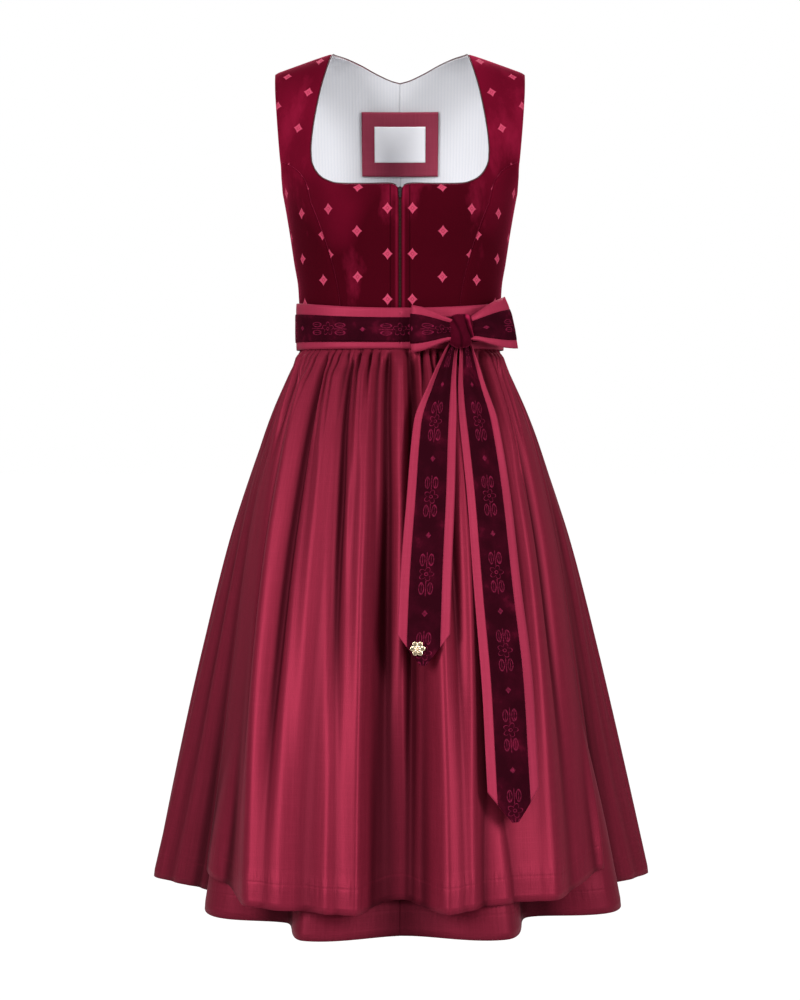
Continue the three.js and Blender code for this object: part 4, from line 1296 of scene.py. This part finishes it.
def goldRosette():
    centre = tailSurface("right", rosette["x"], tailTop - rosette["z"], 4.4)
    lean = Vector((0.06, -0.98, 0.17)).normalized()
    acrossAxis = Vector((0, 0, 1)).cross(lean).normalized() * -1
    upAxis = lean.cross(acrossAxis).normalized()
    upAxis = upAxis if upAxis.z > 0 else -upAxis

    def spot(a, b, c):
        turn, flat = math.atan2(b, a), math.hypot(a, b)
        petal = abs(math.cos(rosette["petals"] * turn / 2))
        far = (rosette["out"] + rosette["swell"] * petal ** 0.8) * flat
        dome = rosette["height"] * (0.55 + 0.45 * petal) * math.copysign(abs(c) ** 0.55, c) * 0.5
        if c > 0:
            dome -= 0.55 * math.exp(-(((flat - 0.42) / 0.09) ** 2))
            dome += 0.7 * math.exp(-((flat / 0.26) ** 2))
        across, up = acrossAxis * far * math.cos(turn), upAxis * far * math.sin(turn)
        return centre + across + up + lean * (dome + 1.2), 0.0

    seat(roundPiece("goldRosette", 144, 28, spot, goldMetal), "gold", "brooch")


goldRosette()


# zip and piping
def zipCloth():
    finish = Finish("zipTapeWoven", 0.7, Specular_IOR_Level=0.04, Specular_Tint=(1.0, 0.6, 0.5, 1))
    v, u = finish.axis("UV", 1), abs(finish.axis("UV", 0))
    tooth = abs(v.cell(0.0017)).under(0.00045, 0.0002) * u.under(0.0019, 0.0002)
    finish.color(finish.blend(tooth, (0.014, 0.0050, 0.0046), (0.036, 0.0160, 0.0140)))
    finish.roughness(0.7 - tooth * 0.35)
    finish.bump(tooth, 0.6, 0.0006)
    rows, columns, halfWidth = 120, 24, 8.8
    levels = [frontEdge(min(0.985, j / rows))[1] for j in range(rows + 1)]

    def spot(i, j):
        x, drop = lerp(-halfWidth, halfWidth, i / columns), -levels[j] * levels[j]
        ridge = 0.5 * math.exp(-((x / 1.9) ** 4))
        return torsoSurface(-1, torsoPlace(x, drop)[0], levels[j], 2.2 - ridge), (x * 0.001, drop * 0.001)

    piece = clothGrid("zipTapeCloth", gridOf(columns, rows, spot), finish, wall=0.6)
    under = ["lining_front_left", "lining_front_right"]
    seatCloth(piece, "zip_tape", "zip_tape", (0.018, 0.172), "stretched", under)


zipCloth()
slider = bpy.data.objects["zip_slider"].data
slider.materials.clear()
slider.materials.append(zipMetal.material)
piping = {"steps": 46, "inset": 0.75, "rise": 0.5, "radius": 0.00065}


def neckPipe(side, word):
    steps, inset = piping["steps"], piping["inset"]
    path = []
    for line, start in ((joined(frontNeck, neckRound, 0.74), 0.03), (frontNeckSide, 0.0)):
        path += [torsoSurface(-1, *line(lerp(start, 1, i / steps)), inset) for i in range(steps + 1)]
    path += [torsoSurface(1, *backNeck(1 - i / steps), inset) for i in range(1, steps + 1)]
    path = [p for i, p in enumerate(path) if i == 0 or (p - path[i - 1]).length > 0.4]
    deselect()
    bpy.ops.curve.primitive_bezier_curve_add()
    curve = bpy.context.object
    curve.name = "neckPiping_" + word
    data = curve.data
    data.splines.clear()
    spline = data.splines.new("POLY")
    spline.points.add(len(path) - 1)
    for point, at in zip(spline.points, path):
        point.co = (*(Vector((side * at.x, at.y, at.z + piping["rise"])) * 0.001), 1)
    data.dimensions = "3D"
    data.bevel_depth = piping["radius"]
    data.bevel_resolution = 3
    data.use_fill_caps = True
    active(curve)
    bpy.ops.object.convert(target="MESH")
    piece = bpy.context.object
    piece.data.materials.clear()
    piece.data.materials.append(neckPiping.material)
    bpy.ops.object.shade_smooth()
    seat(piece, "ribbon_velvet")


neckPipe(1, "left")
neckPipe(-1, "right")
print("trim added")


# floor and lights
studioLamps = {
    "keyLeft": {"at": (-2.1, -2.3, 0.55), "size": (0.9, 2.0), "power": 84},
    "keyRight": {"at": (2.3, -2.1, 0.45), "size": (0.9, 2.0), "power": 74},
    "frontHigh": {"at": (0.0, -3.2, 1.9), "size": (1.4, 1.0), "power": 30},
    "backLeft": {"at": (-1.2, 2.6, 2.4), "size": (1.0, 1.6), "power": 42},
    "backRight": {"at": (1.2, 2.6, 2.4), "size": (1.0, 1.6), "power": 42},
}
air = {"backdrop": 1.0, "fill": 0.26}


def setUpFloor():
    # it looks as white as the backdrop, but lights the dress no more than a pale floor does
    floor = Finish("paleFloor", 0.9, Specular_IOR_Level=0.0)
    mottle = floor.grain(2.0)
    floor.color(floor.blend(mottle, (0.60, 0.60, 0.60), (0.64, 0.64, 0.64)))
    rays = floor.add("ShaderNodeLightPath")
    glow = floor.add("ShaderNodeEmission", inputs={"Color": (1.0, 1.0, 1.0), "Strength": 1.10})
    mixed = floor.add("ShaderNodeMixShader", inputs={0: rays * 0.92, 2: glow})
    floor.tree.links.new(floor.shader.outputs[0], mixed.socket.node.inputs[1])
    floor.tree.links.new(mixed.socket, floor.tree.nodes["Material Output"].inputs[0])
    deselect()
    bpy.ops.mesh.primitive_plane_add(size=60, location=(0, 0, studio["floor"]))
    ground = bpy.context.object
    ground.name = "paleFloor"
    ground.data.materials.append(floor.material)


def setUpAir():
    # a white backdrop behind the dress, and a dimmer soft fill around it
    world = bpy.data.worlds.new("studioAir")
    scene.world = world
    world.use_nodes = True
    nodes, links = world.node_tree.nodes, world.node_tree.links
    rays, choice = nodes.new("ShaderNodeLightPath"), nodes.new("ShaderNodeMixShader")
    links.new(rays.outputs["Is Camera Ray"], choice.inputs[0])
    shades = (nodes.new("ShaderNodeBackground"), nodes["Background"])
    for slot, shade, strength in zip((1, 2), shades, (air["fill"], air["backdrop"])):
        shade.inputs["Color"].default_value = (1, 1, 1, 1)
        shade.inputs["Strength"].default_value = strength
        links.new(shade.outputs[0], choice.inputs[slot])
    links.new(choice.outputs[0], nodes["World Output"].inputs[0])


def setUpLamps():
    for name, lamp in studioLamps.items():
        deselect()
        bpy.ops.object.light_add(type="AREA", location=lamp["at"])
        light = bpy.context.object
        light.name = name
        light.data.energy = lamp["power"]
        light.data.shape = "RECTANGLE"
        light.data.size, light.data.size_y = lamp["size"]
        toward = Vector((0, 0, -0.5)) - Vector(lamp["at"])
        light.rotation_euler = toward.to_track_quat("-Z", "Y").to_euler()


setUpFloor()
setUpAir()
setUpLamps()
print("studio lit")
